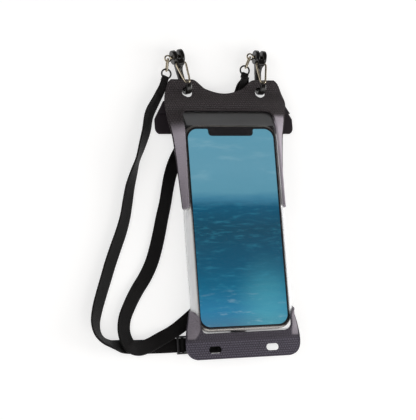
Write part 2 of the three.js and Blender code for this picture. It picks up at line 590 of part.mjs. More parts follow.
function hookBody() {
  const { wide, bar, bendR, bendY, noseAngle, noseBar, headLow, pivotY, pivotZ } = HOOK;
  const bendZ = bar / 2 + bendR;
  const outer = bendR + bar / 2;
  const inner = bendR - noseBar / 2;
  const nose = noseAngle * DEG;
  const shape = new THREE.Shape();
  shape.moveTo(HOOK.forkY, 0);
  shape.lineTo(bendY, 0);
  shape.absarc(bendY, bendZ, outer, -Math.PI / 2, nose - 2 * Math.PI, true);
  shape.absarc(bendY, bendZ, inner, nose - 2 * Math.PI, -Math.PI / 2, false);
  shape.lineTo(bendY + 2, bar);
  shape.lineTo(headLow - 2, bar);
  shape.quadraticCurveTo(headLow + 0.6, bar, headLow + 1, bar + 3);
  shape.quadraticCurveTo(headLow + 1.2, pivotZ + 1.7, pivotY, pivotZ + 1.7);
  shape.quadraticCurveTo(pivotY + 2, pivotZ + 1.7, HOOK.forkY, HOOK.forkZ + HOOK.forkR);
  let solid = toSolid(sideways(shape, wide));
  solid = solid.add(toSolid(rod(HOOK.forkR, -HOOK.forkWide / 2, HOOK.forkWide / 2, HOOK.forkY, HOOK.forkZ, 24)));
  const slotLow = HOOK.forkY - PIN.r - 1.6;
  const slot = new THREE.BoxGeometry(HOOK.forkGap, 20, 20).translate(0, slotLow + 10, 0);
  solid = solid.subtract(toSolid(slot));
  solid = solid.subtract(toSolid(rod(PIN.r + GAP, -10, 10, HOOK.forkY, HOOK.forkZ)));
  return toGeometry(solid.subtract(toSolid(rod(WIRE.holeR, -10, 10, pivotY, pivotZ, 12))));
}

function wireGate() {
  const { r, legX, noseX, endX, tipY, tipZ } = WIRE;
  const { pivotY, pivotZ } = HOOK;
  const half = [
    [endX, pivotY, pivotZ], [legX - 0.7, pivotY, pivotZ], [legX, pivotY - 0.75, pivotZ + 0.16],
    [(legX + noseX) / 2 + 0.2, (pivotY + tipY) / 2, (pivotZ + tipZ) / 2], [noseX, tipY + 1.2, tipZ - 0.2],
    [noseX - 0.7, tipY, tipZ],
  ];
  const points = [...half, ...half.map(([x, y, z]) => [-x, y, z]).reverse()];
  const path = new THREE.CatmullRomCurve3(points.map((p) => new THREE.Vector3(...p)), false, 'centripetal');
  const section = new THREE.Shape().absarc(0, 0, r, 0, 2 * Math.PI, false);
  return new THREE.ExtrudeGeometry(section, { steps: 38, extrudePath: path, curveSegments: 6 });
}

function eyePin() {
  const { r, headR, headT, eyeR, eyeHoleR, eyeT, eyeX } = PIN;
  const { forkY: y, forkZ: z, forkWide } = HOOK;
  const right = forkWide / 2 + GAP;
  let solid = toSolid(rod(r, eyeX + eyeHoleR + 0.4, right + 0.1, y, z));
  solid = solid.add(toSolid(rod(headR, right, right + headT, y, z)));
  solid = solid.add(toSolid(drum(eyeR, eyeX, y, z - eyeT / 2, z + eyeT / 2, 24)));
  return toGeometry(solid.subtract(toSolid(drum(eyeHoleR, eyeX, y, z - 3, z + 3, 20))));
}

// Turns a piece that leaves the pin's eye along +Y to its hanging direction
function fromEye(geometry, tilt) {
  geometry.rotateX(tilt * DEG);
  geometry.rotateZ((180 - LINK.turn) * DEG);
  return geometry.translate(PIN.eyeX, HOOK.forkY, HOOK.forkZ);
}

function ovalLink() {
  const { halfLength, halfWide, wire, tilt } = LINK;
  const outer = roundedRect(2 * (halfLength + wire / 2), 2 * halfWide + wire, halfWide + wire / 2 - 0.01);
  outer.holes.push(roundedRect(2 * (halfLength - wire / 2), 2 * halfWide - wire, halfWide - wire / 2 - 0.01));
  const geometry = new THREE.ExtrudeGeometry(outer, { depth: wire, bevelEnabled: false, curveSegments: 5 });
  geometry.translate(halfLength, 0, -wire / 2).rotateX(Math.PI / 2).rotateZ(Math.PI / 2);
  return fromEye(geometry, -tilt);
}

function ringCentre() {
  const reach = 2 * LINK.halfLength - LINK.wire / 2 - RING.wire - GAP;
  const out = reach * Math.cos(LINK.tilt * DEG) + RING.r;
  const turn = (90 + 180 - LINK.turn) * DEG;
  const z = HOOK.forkZ - reach * Math.sin(LINK.tilt * DEG);
  return [PIN.eyeX + out * Math.cos(turn), HOOK.forkY + out * Math.sin(turn), z];
}

function clip(side) {
  const sign = side === 'left' ? -1 : 1;
  const group = new THREE.Group();
  group.position.set(sign * EAR.holeX, EAR.holeY, 0);
  group.rotation.z = LEAN[side] * DEG;
  const ring = new THREE.TorusGeometry(RING.r, RING.wire, 6, 20).translate(...ringCentre());
  group.add(
    piece(`${side}_hook_body`, hookBody(), 'hook'),
    piece(`${side}_wire_gate`, wireGate(), 'bright'),
    piece(`${side}_eye_pin`, eyePin(), 'bright'),
    piece(`${side}_oval_link`, ovalLink(), 'bright'),
    piece(`${side}_ring`, ring, 'hook'),
  );
  return group;
}

// Lanyard

// A place of the lanyard beside the phone at hand: farther out as the phone is wider or longer
function spread([x, y, ...rest]) {
  const wider = (PHONE.width - LAID.width) / 2;
  const longer = (PHONE.length - LAID.length) / 2;
  return [x + wider * THREE.MathUtils.clamp(x / LAID.earX, -1, 1), y + (longer * y) / LAID.ringY, ...rest];
}

// The strap's section carried along its route: across it and upwards, turned by the roll
function webbing(places) {
  const route = places.map(spread);
  const w = STRAP.width / 2;
  const t = STRAP.thick / 2;
  const bevel = 0.4;
  const right = [[w - bevel, -t], [w, bevel - t], [w, t - bevel], [w - bevel, t]];
  const left = right.map(([x, y]) => [-x, -y]);
  const section = new THREE.Shape([...right, ...left].map(([x, y]) => new THREE.Vector2(x, y)));
  const steps = route.length - 1;
  const geometry = new THREE.ExtrudeGeometry(section, { depth: 1, steps, bevelEnabled: false });
  const line = route.map(([x, y, roll, lift]) => {
    const tall = w * Math.abs(Math.sin(roll * DEG)) + t * Math.cos(roll * DEG);
    return new THREE.Vector3(x, y, tall + lift);
  });
  const path = new THREE.CatmullRomCurve3(line, false, 'centripetal');
  const rolls = route.map(([, , roll], i) => [i / (route.length - 1), roll]);
  const at = geometry.attributes.position;
  const up = new THREE.Vector3(0, 0, 1);
  for (let i = 0; i < at.count; i += 1) {
    const along = Math.min(at.getZ(i), 1);
    const across = up.clone().cross(path.getTangent(along)).normalize();
    const roll = lookUp(rolls, along) * DEG;
    const wide = across.clone().multiplyScalar(Math.cos(roll)).addScaledVector(up, Math.sin(roll));
    const deep = across.multiplyScalar(-Math.sin(roll)).addScaledVector(up, Math.cos(roll));
    const point = path.getPoint(along).addScaledVector(wide, at.getX(i)).addScaledVector(deep, at.getY(i));
    at.setXYZ(i, point.x, point.y, Math.max(point.z, 0));
  }
  return geometry;
}

function slider() {
  const { along, across, high, slotAcross, slotAlong, bar } = SLIDER;
  const [x, y] = spread([SLIDER.x, SLIDER.y]);
  let solid = toSolid(plate(roundedRect(along, across, 1.6, x, y), 0, high, 3));
  for (const sign of [-1, 1]) {
    const at = x + (sign * (bar + slotAlong)) / 2;
    const slot = new THREE.BoxGeometry(slotAlong, slotAcross, 2 * high + 2).translate(at, y, 0);
    solid = solid.subtract(toSolid(slot));
  }
  return toGeometry(solid);
}

// Assembly

const pouch = new THREE.Group();
pouch.add(
  piece('top_trim', topTrim(), 'trim'),
  piece('bottom_trim', bottomTrim(), 'trim'),
  piece('front_film', frontFilm(), 'film'),
  piece('back_film', backFilm(), 'film'),
  piece('mouth_flap', mouthFlap(), 'mouth'),
  ...mouthFittings(),
  ...phone(),
  clip('left'),
  clip('right'),
);

// The origin is under the middle of the pouch and its clips, without the lanyard
pouch.updateMatrixWorld(true);
const box = new THREE.Box3().setFromObject(pouch, true);
const middleY = (box.min.y + box.max.y) / 2;

pouch.add(
  piece('strap_left', webbing(ROUTE_LEFT), 'webbing'),
  piece('strap_right', webbing(ROUTE_RIGHT), 'webbing'),
  piece('strap_slider', slider(), 'hook'),
);
pouch.position.y = -middleY;

export default pouch;
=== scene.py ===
"""Waterproof pouch on its back with a phone in it, two hook clips and a webbing lanyard.

Shapes are worked out in millimetres in the pouch's own frame, whose zero is the middle of the phone,
and place() takes them into the CAD frame. Each surface is a grid of two parameters.
"""

import json
from math import radians

import bmesh
import bpy
import numpy as np
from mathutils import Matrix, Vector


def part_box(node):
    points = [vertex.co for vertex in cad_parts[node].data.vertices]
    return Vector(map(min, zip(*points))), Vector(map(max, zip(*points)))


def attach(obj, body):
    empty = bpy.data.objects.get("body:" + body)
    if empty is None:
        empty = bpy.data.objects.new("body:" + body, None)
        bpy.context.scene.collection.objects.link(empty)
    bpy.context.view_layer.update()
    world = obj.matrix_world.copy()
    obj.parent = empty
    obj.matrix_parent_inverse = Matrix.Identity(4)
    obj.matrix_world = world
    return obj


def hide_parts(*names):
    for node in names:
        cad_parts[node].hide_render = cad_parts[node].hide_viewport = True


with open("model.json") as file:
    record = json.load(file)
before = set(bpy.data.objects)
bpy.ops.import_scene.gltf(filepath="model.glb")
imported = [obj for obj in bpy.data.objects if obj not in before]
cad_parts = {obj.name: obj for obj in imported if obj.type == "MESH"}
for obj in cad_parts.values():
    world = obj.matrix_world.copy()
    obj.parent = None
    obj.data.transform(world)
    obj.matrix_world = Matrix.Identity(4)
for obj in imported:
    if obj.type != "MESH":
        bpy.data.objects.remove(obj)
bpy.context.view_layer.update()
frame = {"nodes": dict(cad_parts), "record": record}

# Sizes in millimetres

MM = 0.001
BOTTOM_EDGE = -89.0
SHIFT_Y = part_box("bottom_trim")[0].y / MM - BOTTOM_EDGE
GAP = 0.3
FILM_T = 0.5
TRIM_T = 1.2
SEAM_Z = 5.1
RIM = 1.0
SHOULDER = {"x": 31.3, "y": 67.8, "z": 9.8, "r": 4.4}
FRONT_RIM_Z = SEAM_Z + 2 * FILM_T + GAP
FILM_END = {"top": 83.0, "bottom": -77.0}

# The body's outline as [y, half width]
BODY = np.array([
    [-92, 41], [-76, 41], [-68, 39.9], [-56, 37], [-45, 36.7], [13, 36.7], [32, 37.8],
    [50, 39], [64, 40.3], [76, 43], [88, 44.6], [110, 44.6],
], float)
WINDOW = {"half": 33.2, "top": 81.5, "bottom": -72.0, "r": 4.5}
LEG = {"tip": 13.0, "inner": 33.9}
HORN = {"tip": -55.7, "inner": 32.2, "shoulder": -61.0}
EAR = {
    "top": 104.5, "outer": 40.5, "inner": 21.0, "foldY": 88.0, "shoulder": (14.2, 98.0), "notchY": 94.6,
    "hole": (27.0, 95.5), "holeR": 3.8, "z": 4.4, "bend": (86.0, 96.0), "cells": (5, 4),
}
SLOT = {"x": 20.7, "y": -82.7, "length": 9.6, "width": 4.6, "cells": (9, 4)}
BACKING = {"top": -80.3, "ramp": 1.0, "thick": 0.9}
BEAD = {"column": 1.6, "wide": 1.1, "top": 0.35, "bottom": 0.3}
MOUTH = {
    "half": 51.0, "low": 66.5, "chamfer": (48.5, 69.0), "shoulderY": 77.5, "foldY": 89.6,
    "bottom": 1.6, "sheet": 1.0, "inside": 1.2, "upperLow": 80.6,
}
PILLOW = {"half": 20.0, "low": -30.0, "high": 34.0, "ramp": 62.0, "shelf": 3.9, "power": 4, "spread": 0.8}
HOOK = {
    "wide": 4.6, "bar": 3.2, "bend_r": 5.35, "bend_bar": 2.9, "bend": (4.88, 6.8), "nose": 97.0,
    "head_low": 17.4, "pivot": (20.4, 8.2), "fork": (25.6, 5.0), "fork_r": 5.0, "fork_wide": 8.0,
    "fork_gap": 2.2, "wire_hole": 1.0, "narrowing": 0.86,
}
WIRE = {"r": 0.7, "leg": 3.35, "nose": 1.75, "end": 1.1, "tip": (5.75, 11.6)}
PIN = {"r": 1.0, "head_r": 1.8, "head_t": 0.8, "eye_r": 2.7, "eye_hole": 1.6, "eye_x": -7.0}
LINK = {"half_length": 4.4, "half_wide": 2.05, "wire": 1.1, "turn": 20.0, "tilt": 9.0}
RING = {"r": 3.3, "wire": 0.6}
LEAN = {"left": 12.0, "right": -4.0}
STRAP = {"width": 9.5, "thick": 1.3, "gathered": 5.0, "bunched": 0.12, "gather": (24.0, 8.0), "step": 1.2}
LOOP = {
    "sewn_at": 10, "aims_at": 4, "off_wire": 0.62, "top": 4.0, "tail": 2.2, "wide": 4.8, "thick": 0.9,
    "long": 24,
}
SLIDER = {
    "x": -41.5, "y": -78.0, "along": 9.0, "across": 12.2, "high": 3.2, "slot_across": 9.8,
    "slot_along": 2.3, "bar": 1.6, "under": 1.6, "over": 1.35,
}

# The lanyard's route from ring to ring as [x, y, roll in degrees, lift], through the slider
ROUTE_LEFT = [
    [-41.8, 104.6, 0, 2.6], [-44, 99, -14, 1.2], [-48.8, 90.6, -38, 0], [-54.8, 80, -38, 0],
    [-57.6, 69, -40, 0], [-61.4, 58.6, -50, 0], [-65.4, 48.4, -62, 0], [-68.4, 40, -50, 0],
    [-71.6, 30.4, -38, 0], [-74, 20, -32, 0], [-76.4, 9.6, -30, 0], [-80, -1, -26, 0],
    [-84.4, -11.4, -24, 0], [-88.6, -21.6, -24, 0], [-92.4, -31.8, -26, 0], [-96.2, -42, -28, 0],
    [-99.6, -52, -32, 0], [-101.4, -60.4, -40, 0], [-100.6, -67.2, -50, 0], [-97.4, -72, -58, 0],
    [-92.4, -74.8, -56, 0], [-88, -76, -40, 0], [-84, -76.8, -18, 0], [-80, -77.2, -6, 0],
    [-74, -77.6, 0, 0], [-64, -77.8, 0, 0], [-55, -78, 0, 0], [-46.6, -78, 0, 0],
]
ROUTE_SLIDER = [[-44.6, -78, 0, 0.1], [-41.5, -78, 0, 1.5], [-38.4, -78, 0, 0.1]]
ROUTE_RIGHT = [
    [-36.4, -78, 0, 0], [-32, -78, 0, 0], [-22, -79.6, 0, 0], [-10, -78.6, 0, 0], [-1.4, -72, 0, 0],
    [1, -62, 0, 0], [-4, -53.6, 0, 0], [-14, -49.6, 0, 0], [-22, -51.2, 0, 0], [-30, -56.4, 2, 0],
    [-38.4, -62.6, 8, 0], [-45, -67, 20, 0], [-50.6, -70, 24, 0.2], [-57, -73, 16, 1.2],
    [-65, -76.8, 4, 2.2], [-73, -79, 0, 2.4], [-79.4, -76.4, 8, 2.8], [-82.2, -69, 14, 1.6],
    [-81.2, -59.6, 14, 0], [-76.8, -49.6, 12, 0], [-71, -40, 8, 0], [-64.6, -31, 6, 0],
    [-59.4, -21.4, 6, 0], [-55.9, -12, 6, 0], [-52.9, -2, 8, 0], [-50.1, 8.6, 10, 0],
    [-47.3, 18.4, 14, 0], [-45, 28, 14, 0], [-42, 38.4, 10, 0], [-37.2, 49, 4, 0],
    [-29.6, 60, 0, 0], [-18.4, 69, 0, 0], [-6.4, 76.4, 0, 0], [4.6, 84, 0, 0], [12.6, 93, 0, 0],
    [16.4, 101.6, 0, 0.9], [18.2, 107.4, 0, 2.6],
]

# Camera at the photograph's viewing angle

CAMERA_PLACE = (-0.33692, -0.14942, 0.89571)
CAMERA_TURN = (10.0860, -19.0217, -4.3926)
CAMERA_LENS = 120.0


def camera():
    """The photograph's view: from the lower left, looking down on the window."""
    data = bpy.data.cameras.new("camera")
    data.lens = CAMERA_LENS
    made = bpy.data.objects.new("camera", data)
    made.location = CAMERA_PLACE
    made.rotation_euler = [radians(turn) for turn in CAMERA_TURN]
    bpy.context.scene.collection.objects.link(made)
    bpy.context.scene.camera = made


# Mesh tools

SHEET_CRISP = 40.0
ROUND_CRISP = 60.0


def place(points):
    """Millimetres in the pouch's own frame to metres in the CAD frame: moved along Y, then scaled."""
    return (np.asarray(points, float) + [0.0, SHIFT_Y, 0.0]) * MM


def grid_faces(rows, columns, wrap_rows=False, wrap_columns=False):
    """Quads of a grid whose vertex (i, j) is i * columns + j, closed on itself where it wraps."""
    i, j = np.meshgrid(
        np.arange(rows if wrap_rows else rows - 1),
        np.arange(columns if wrap_columns else columns - 1),
        indexing="ij",
    )
    here, below = i.ravel() * columns, (i.ravel() + 1) % rows * columns
    j, beside = j.ravel(), (j.ravel() + 1) % columns
    return np.stack([here + j, here + beside, below + beside, below + j], 1)


def piece(name, points, quads, material, values=None, crisp=SHEET_CRISP):
    """An object of the quads, merged where points meet, with its faces turned outwards."""
    mesh = bpy.data.meshes.new(name)
    mesh.from_pydata(place(points.reshape(-1, 3)).tolist(), [], quads.tolist())
    for key, value in (values or {}).items():
        kind, field = ("FLOAT_VECTOR", "vector") if value.ndim > 1 else ("FLOAT", "value")
        attribute = mesh.attributes.new(key, kind, "POINT")
        attribute.data.foreach_set(field, value.astype(np.float32).ravel())
    tidy(mesh)
    mesh.materials.append(material)
    made = bpy.data.objects.new(f"{name}_form", mesh)
    bpy.context.scene.collection.objects.link(made)
    smooth(made, crisp)
    return made


def tidy(mesh, within=2e-6):
    """Merges doubled points, drops faces without area and turns the rest outwards."""
    work = bmesh.new()
    work.from_mesh(mesh)
    bmesh.ops.remove_doubles(work, verts=work.verts, dist=within)
    bmesh.ops.dissolve_degenerate(work, edges=work.edges, dist=within)
    bmesh.ops.recalc_face_normals(work, faces=work.faces)
    work.to_mesh(mesh)
    work.free()


def smooth(made, crisp):
    """Smooth shading, apart from edges that bend more than the crisp angle."""
    made.data.polygons.foreach_set("use_smooth", np.ones(len(made.data.polygons), bool))
    made.data.set_sharp_from_angle(angle=radians(crisp))


def modified(made, kind, crisp=SHEET_CRISP, **settings):
    """Adds a modifier and applies it."""
    modifier = made.modifiers.new(kind.lower(), kind)
    for key, value in settings.items():
        setattr(modifier, key, value)
    shape = made.evaluated_get(bpy.context.evaluated_depsgraph_get())
    mesh = bpy.data.meshes.new_from_object(shape)
    made.modifiers.clear()
    made.data = mesh
    smooth(made, crisp)
    return made


def soft_edges(made, width=0.2, segments=2, angle=38.0):
    """Rounds the edges that bend more than the angle."""
    return modified(
        made, "BEVEL", width=width * MM, segments=segments, limit_method="ANGLE", angle_limit=radians(angle)
    )


def remeshed(made, voxel):
    """Joins a piece's overlapping closed shapes into one skin of small quads."""
    return modified(made, "REMESH", mode="VOXEL", voxel_size=voxel * MM, adaptivity=0.0)


def fused(made, voxel, passes):
    """The joined skin with its edges softened."""
    remeshed(made, voxel)
    return modified(made, "SMOOTH", crisp=ROUND_CRISP, factor=0.5, iterations=passes)


def thickened(upper, lower, quads):
    """A closed sheet between two layers of the same points, with walls along every border."""
    count = upper.reshape(-1, 3).shape[0]
    start = quads.ravel()
    end = np.roll(quads, -1, 1).ravel()
    border = ~np.isin(start * count + end, end * count + start)
    a, b = start[border], end[border]
    walls = np.stack([b, a, a + count, b + count], 1)
    points = np.concatenate([upper.reshape(-1, 3), lower.reshape(-1, 3)])
    return points, np.concatenate([quads, quads[:, ::-1] + count, walls])


def turned(points, side):
    """From a clip's own frame into the pouch's: turned by the clip's lean, then moved to its ear's hole."""
    sign = -1 if side == "left" else 1
    angle = radians(LEAN[side])
    x, y, z = np.moveaxis(np.asarray(points, float), -1, 0)
    return np.stack([
        np.cos(angle) * x - np.sin(angle) * y + sign * EAR["hole"][0],
        np.sin(angle) * x + np.cos(angle) * y + EAR["hole"][1],
        z,
    ], -1)


# Lines and sections


def spline(points, per_span=24):
    """Centripetal Catmull-Rom curve through the points, each span a cubic between its own two."""
    points = np.asarray(points, float)
    ends = np.concatenate([[2 * points[0] - points[1]], points, [2 * points[-1] - points[-2]]])
    p0, p1, p2, p3 = ends[:-3], ends[1:-2], ends[2:-1], ends[3:]
    spans = ((p0, p1), (p1, p2), (p2, p3))
    d0, d1, d2 = (np.sqrt(np.linalg.norm((b - a)[:, :3], axis=1))[:, None] for a, b in spans)
    t1 = ((p1 - p0) / d0 - (p2 - p0) / (d0 + d1) + (p2 - p1) / d1) * d1
    t2 = ((p2 - p1) / d1 - (p3 - p1) / (d1 + d2) + (p3 - p2) / d2) * d1
    t = (np.arange(per_span) / per_span)[None, :, None]
    p1, p2, t1, t2 = (value[:, None, :] for value in (p1, p2, t1, t2))
    curve = p1 + t1 * t + (-3 * p1 + 3 * p2 - 2 * t1 - t2) * t**2 + (2 * p1 - 2 * p2 + t1 + t2) * t**3
    return np.concatenate([curve.reshape(-1, points.shape[1]), points[-1:]])


def evenly(line, count):
    """The line's points spaced evenly along its length."""
    line = np.asarray(line, float)
    length = np.r_[0, np.cumsum(np.linalg.norm(np.diff(line[:, :3], axis=0), axis=1))]
    at = np.linspace(0, length[-1], count)
    return np.stack([np.interp(at, length, column) for column in line.T], 1)


def arc(centre, radius, start, end, count):
    """Points of a circle's arc, in degrees."""
    angle = np.radians(np.linspace(start, end, count))
    return np.stack([centre[0] + radius * np.cos(angle), centre[1] + radius * np.sin(angle)], 1)


def bezier(controls, count):
    """A cubic Bezier curve, its controls weighted by the binomial terms of t."""
    t = np.linspace(0, 1, count)[:, None]
    a, b, c, d = np.asarray(controls, float)
    return a * (1 - t) ** 3 + 3 * b * t * (1 - t) ** 2 + 3 * c * t**2 * (1 - t) + d * t**3


def rounded(width, thick, radius, per_corner=5, per_side=2):
    """A rounded rectangle round the origin, as a closed loop of points."""
    w, t = width / 2 - radius, thick / 2 - radius
    middles = [(w, t), (-w, t), (-w, -t), (w, -t)]
    corners = [arc(middle, radius, 90 * k, 90 * k + 90, per_corner) for k, middle in enumerate(middles)]
    parts = []
    for this, after in zip(corners, corners[1:] + corners[:1]):
        between = np.linspace(this[-1], after[0], per_side + 2)[1:-1]
        parts += [this, between]
    return np.concatenate(parts)


def unit(vectors):
    """The vectors scaled to length one."""
    return vectors / np.maximum(np.linalg.norm(vectors, axis=-1, keepdims=True), 1e-12)


def swept(centres, wide, deep, section):
    """A section carried along a line: centre + x times the wide vector + y times the deep one."""
    section = np.broadcast_to(section, (len(centres), *np.shape(section)[-2:]))
    return centres[:, None] + section[..., :1] * wide[:, None] + section[..., 1:] * deep[:, None]


def capped(rings):
    """Closes a sweep's two ends on the middle of its first and last rings."""
    first, last = (np.broadcast_to(ring.mean(0), ring.shape)[None] for ring in (rings[0], rings[-1]))
    return np.concatenate([first, rings, last])


def tube(line, radius, sides=16, reference=(0, 0, 1), closed=False):
    """A round wire along a line: each ring stands across the line's direction, and open ends are domed."""
    line = np.asarray(line, float)
    if closed:
        along = unit(np.roll(line, -1, 0) - np.roll(line, 1, 0))
    else:
        along = unit(np.gradient(line, axis=0))
    wide = unit(np.cross(along, np.broadcast_to(reference, line.shape)))
    deep = np.cross(wide, along)
    angle = np.arange(sides) * 2 * np.pi / sides
    section = np.stack([np.cos(angle), np.sin(angle)], 1) * radius
    rings = swept(line, wide, deep, section)
    if closed:
        return rings
    beyond = np.array([0.55, 0.85])
    dome = section[None] * np.sqrt(1 - beyond**2)[:, None, None]
    first, last = (
        swept(
            line[end] + sign * radius * beyond[:, None] * along[end],
            np.repeat(wide[end][None], 2, 0), np.repeat(deep[end][None], 2, 0), dome,
        )
        for end, sign in ((0, -1), (-1, 1))
    )
    return capped(np.concatenate([first[::-1], rings, last]))


def merged(*parts):
    """Several (points, quads) as one."""
    points, quads, count = [], [], 0
    for some, faces in parts:
        some = some.reshape(-1, 3)
        points.append(some)
        quads.append(faces + count)
        count += len(some)
    return np.concatenate(points), np.concatenate(quads)


def solid(rings, closed=False):
    """The points and quads of a swept solid, its sections closed loops."""
    return rings, grid_faces(rings.shape[0], rings.shape[1], wrap_rows=closed, wrap_columns=True)


def eased(t):
    """From 0 to 1 with level ends: three t squared less two t cubed."""
    t = np.clip(t, 0, 1)
    return t * t * (3 - 2 * t)


def blurred(table_y, values, width):
    """The values smoothed along y by a bell of that width."""
    step = table_y[1] - table_y[0]
    reach = int(4 * width / step)
    bell = np.exp(-0.5 * (np.arange(-reach, reach + 1) * step / width) ** 2)
    padded = np.pad(values, reach, mode="edge")
    return np.convolve(padded, bell / bell.sum(), "valid")


# The skin that the films and trims follow

TABLE_Y = np.arange(-95, 112, 0.25)
SHARE_BLUR = 0.8
WIDTH_BLUR = 1.6
LEAST_RIM = 0.6 * RIM
FOOT_GAP = 0.1
TINY = 1e-6
STEEP = {"from": 0.12, "over": 0.55}


def tangent_angle(px, pz, cx, cz, radius):
    """Where the line from an outside point touches a circle, as an angle."""
    reach = np.hypot(px - cx, pz - cz)
    return np.arctan2(pz - cz, px - cx) + np.arccos(np.minimum(1, radius / reach))


def fullness_table():
    """Share of the full height at y: 1 over the phone, round its ends, then straight down to the seam."""
    s = SHOULDER
    end = np.where(TABLE_Y > 0, FILM_END["top"], -FILM_END["bottom"])
    d = np.abs(TABLE_Y)
    angle = tangent_angle(end, FRONT_RIM_Z, s["y"], s["z"], s["r"])
    touch = s["y"] + s["r"] * np.cos(angle)
    full = s["z"] + s["r"] - FRONT_RIM_Z
    rise = np.sqrt(np.maximum(s["r"] ** 2 - (d - s["y"]) ** 2, 0))
    high = s["z"] + s["r"] * np.sin(angle) - FRONT_RIM_Z
    on_arc = (s["z"] + rise - FRONT_RIM_Z) / full
    on_slope = high * (end - d) / ((end - touch) * full)
    share = np.where(d < touch, on_arc, on_slope)
    return np.clip(np.where(d <= s["y"], 1, share), 0, 1)


SHARE = blurred(TABLE_Y, fullness_table(), SHARE_BLUR)
HALF = blurred(TABLE_Y, np.interp(TABLE_Y, BODY[:, 0], BODY[:, 1]), WIDTH_BLUR)


def half_width(y):
    """The body's half width at y."""
    return np.interp(y, TABLE_Y, HALF)


def rim_z(y):
    """The rim's height at y: level along the body, then down to the ears."""
    low, high = EAR["bend"]
    return FRONT_RIM_Z - (FRONT_RIM_Z + GAP - EAR["z"]) * eased((y - low) / (high - low))


def section_keys(y):
    """For each y, the section's foot, the angle where its slope leaves the shoulder, and that point."""
    s = SHOULDER
    inner = np.maximum(half_width(y) - RIM, s["x"] + s["r"])
    turn = np.pi / 2 - tangent_angle(inner, FRONT_RIM_Z, s["x"], s["z"], s["r"])
    touch_x = s["x"] + s["r"] * np.sin(turn)
    touch_z = s["z"] + s["r"] * np.cos(turn)
    return inner, turn, touch_x, touch_z


def along_section(x, y):
    """The section's parameter at x: 1 where the crown ends, 2 the shoulder, 3 the slope, 4 the rim."""
    inner, turn, touch_x, _ = section_keys(y)
    s, size = SHOULDER, np.abs(x)
    edge = half_width(y) + GAP
    on_arc = 1 + np.arcsin(np.clip((size - s["x"]) / s["r"], 0, 1)) / turn
    on_slope = 2 + (size - touch_x) / np.maximum(inner - touch_x, TINY)
    on_rim = 3 + (size - inner) / np.maximum(edge - inner, TINY)
    ends = [size <= s["x"], size <= touch_x, size <= inner]
    return np.copysign(np.select(ends, [size / s["x"], on_arc, on_slope], on_rim), x)


def skin(at, y, offset, beyond=GAP):
    """The front skin at a section parameter: flat crown, round shoulder, straight slope, level rim.

    The height over the seam is scaled by the share at y. The offset runs along the section's normal.
    """
    s = SHOULDER
    size = np.abs(at)
    inner, turn, touch_x, touch_z = section_keys(y)
    edge = np.maximum(half_width(y), inner + LEAST_RIM) + beyond
    share, base = np.interp(y, TABLE_Y, SHARE), rim_z(y)
    angle = np.clip(size - 1, 0, 1) * turn
    arc_x = s["x"] * np.clip(size, 0, 1) + s["r"] * np.sin(angle)
    arc_z = base + (s["z"] + s["r"] * np.cos(angle) - FRONT_RIM_Z) * share
    normal = unit(np.stack([np.sin(angle) * share, np.cos(angle)], -1))
    arc_x, arc_z = arc_x + offset * normal[..., 0], arc_z + offset * normal[..., 1]
    last = unit(np.stack([np.sin(turn) * share, np.cos(turn)], -1))
    touch = np.stack([touch_x, base + (touch_z - FRONT_RIM_Z) * share], -1) + offset[..., None] * last
    lean = np.arctan2((touch_z - FRONT_RIM_Z) * share, np.maximum(inner - touch_x, TINY))
    foot_x = np.minimum(inner + offset * np.tan(lean / 2), edge - FOOT_GAP)
    foot = np.stack([foot_x, base + offset], -1)
    rim = np.stack([edge, base + offset], -1)
    down = np.clip(size - 2, 0, 1)[..., None]
    out = np.clip(size - 3, 0, 1)[..., None]
    line = np.where(size[..., None] <= 3, touch + (foot - touch) * down, foot + (rim - foot) * out)
    x = np.where(size <= 2, arc_x, line[..., 0])
    z = np.where(size <= 2, arc_z, line[..., 1])
    return np.stack([np.copysign(x, at), y, z], -1)


def steepness(at, y):
    """0 on level skin to 1 on its steep sides, where the trim gets painted light and the film turns milky.
    """
    low, high = (skin(at + step, y, np.zeros_like(y)) for step in (-0.02, 0.02))
    run, rise = np.abs(high[..., 0] - low[..., 0]), np.abs(high[..., 2] - low[..., 2])
    return eased((np.arctan2(rise, run) - STEEP["from"]) / STEEP["over"])


# Trims: U-shaped grids from the window's edge to the outline, with equal rows on both

TOP_ROWS = {"tip": 9, "leg": 60, "corner": 16, "middle": 66}
BOTTOM_ROWS = {"horn": 30, "corner": 18, "middle": 70}


def mirrored(line):
    """A whole line from its right half, which ends on the middle line."""
    return np.concatenate([line, (line[:-1] * [-1, 1])[::-1]])


def trim_grid(inner, outer, columns):
    """Section parameter and y at each point, evenly between the window's edge and the outline."""
    inner, outer = mirrored(inner), mirrored(outer)
    share = np.linspace(0, 1, columns)[None, :]
    start, end = along_section(inner[:, 0], inner[:, 1]), along_section(outer[:, 0], outer[:, 1])
    at = start[:, None] * (1 - share) + end[:, None] * share
    y = inner[:, 1:] * (1 - share) + outer[:, 1:] * share
    return at, y


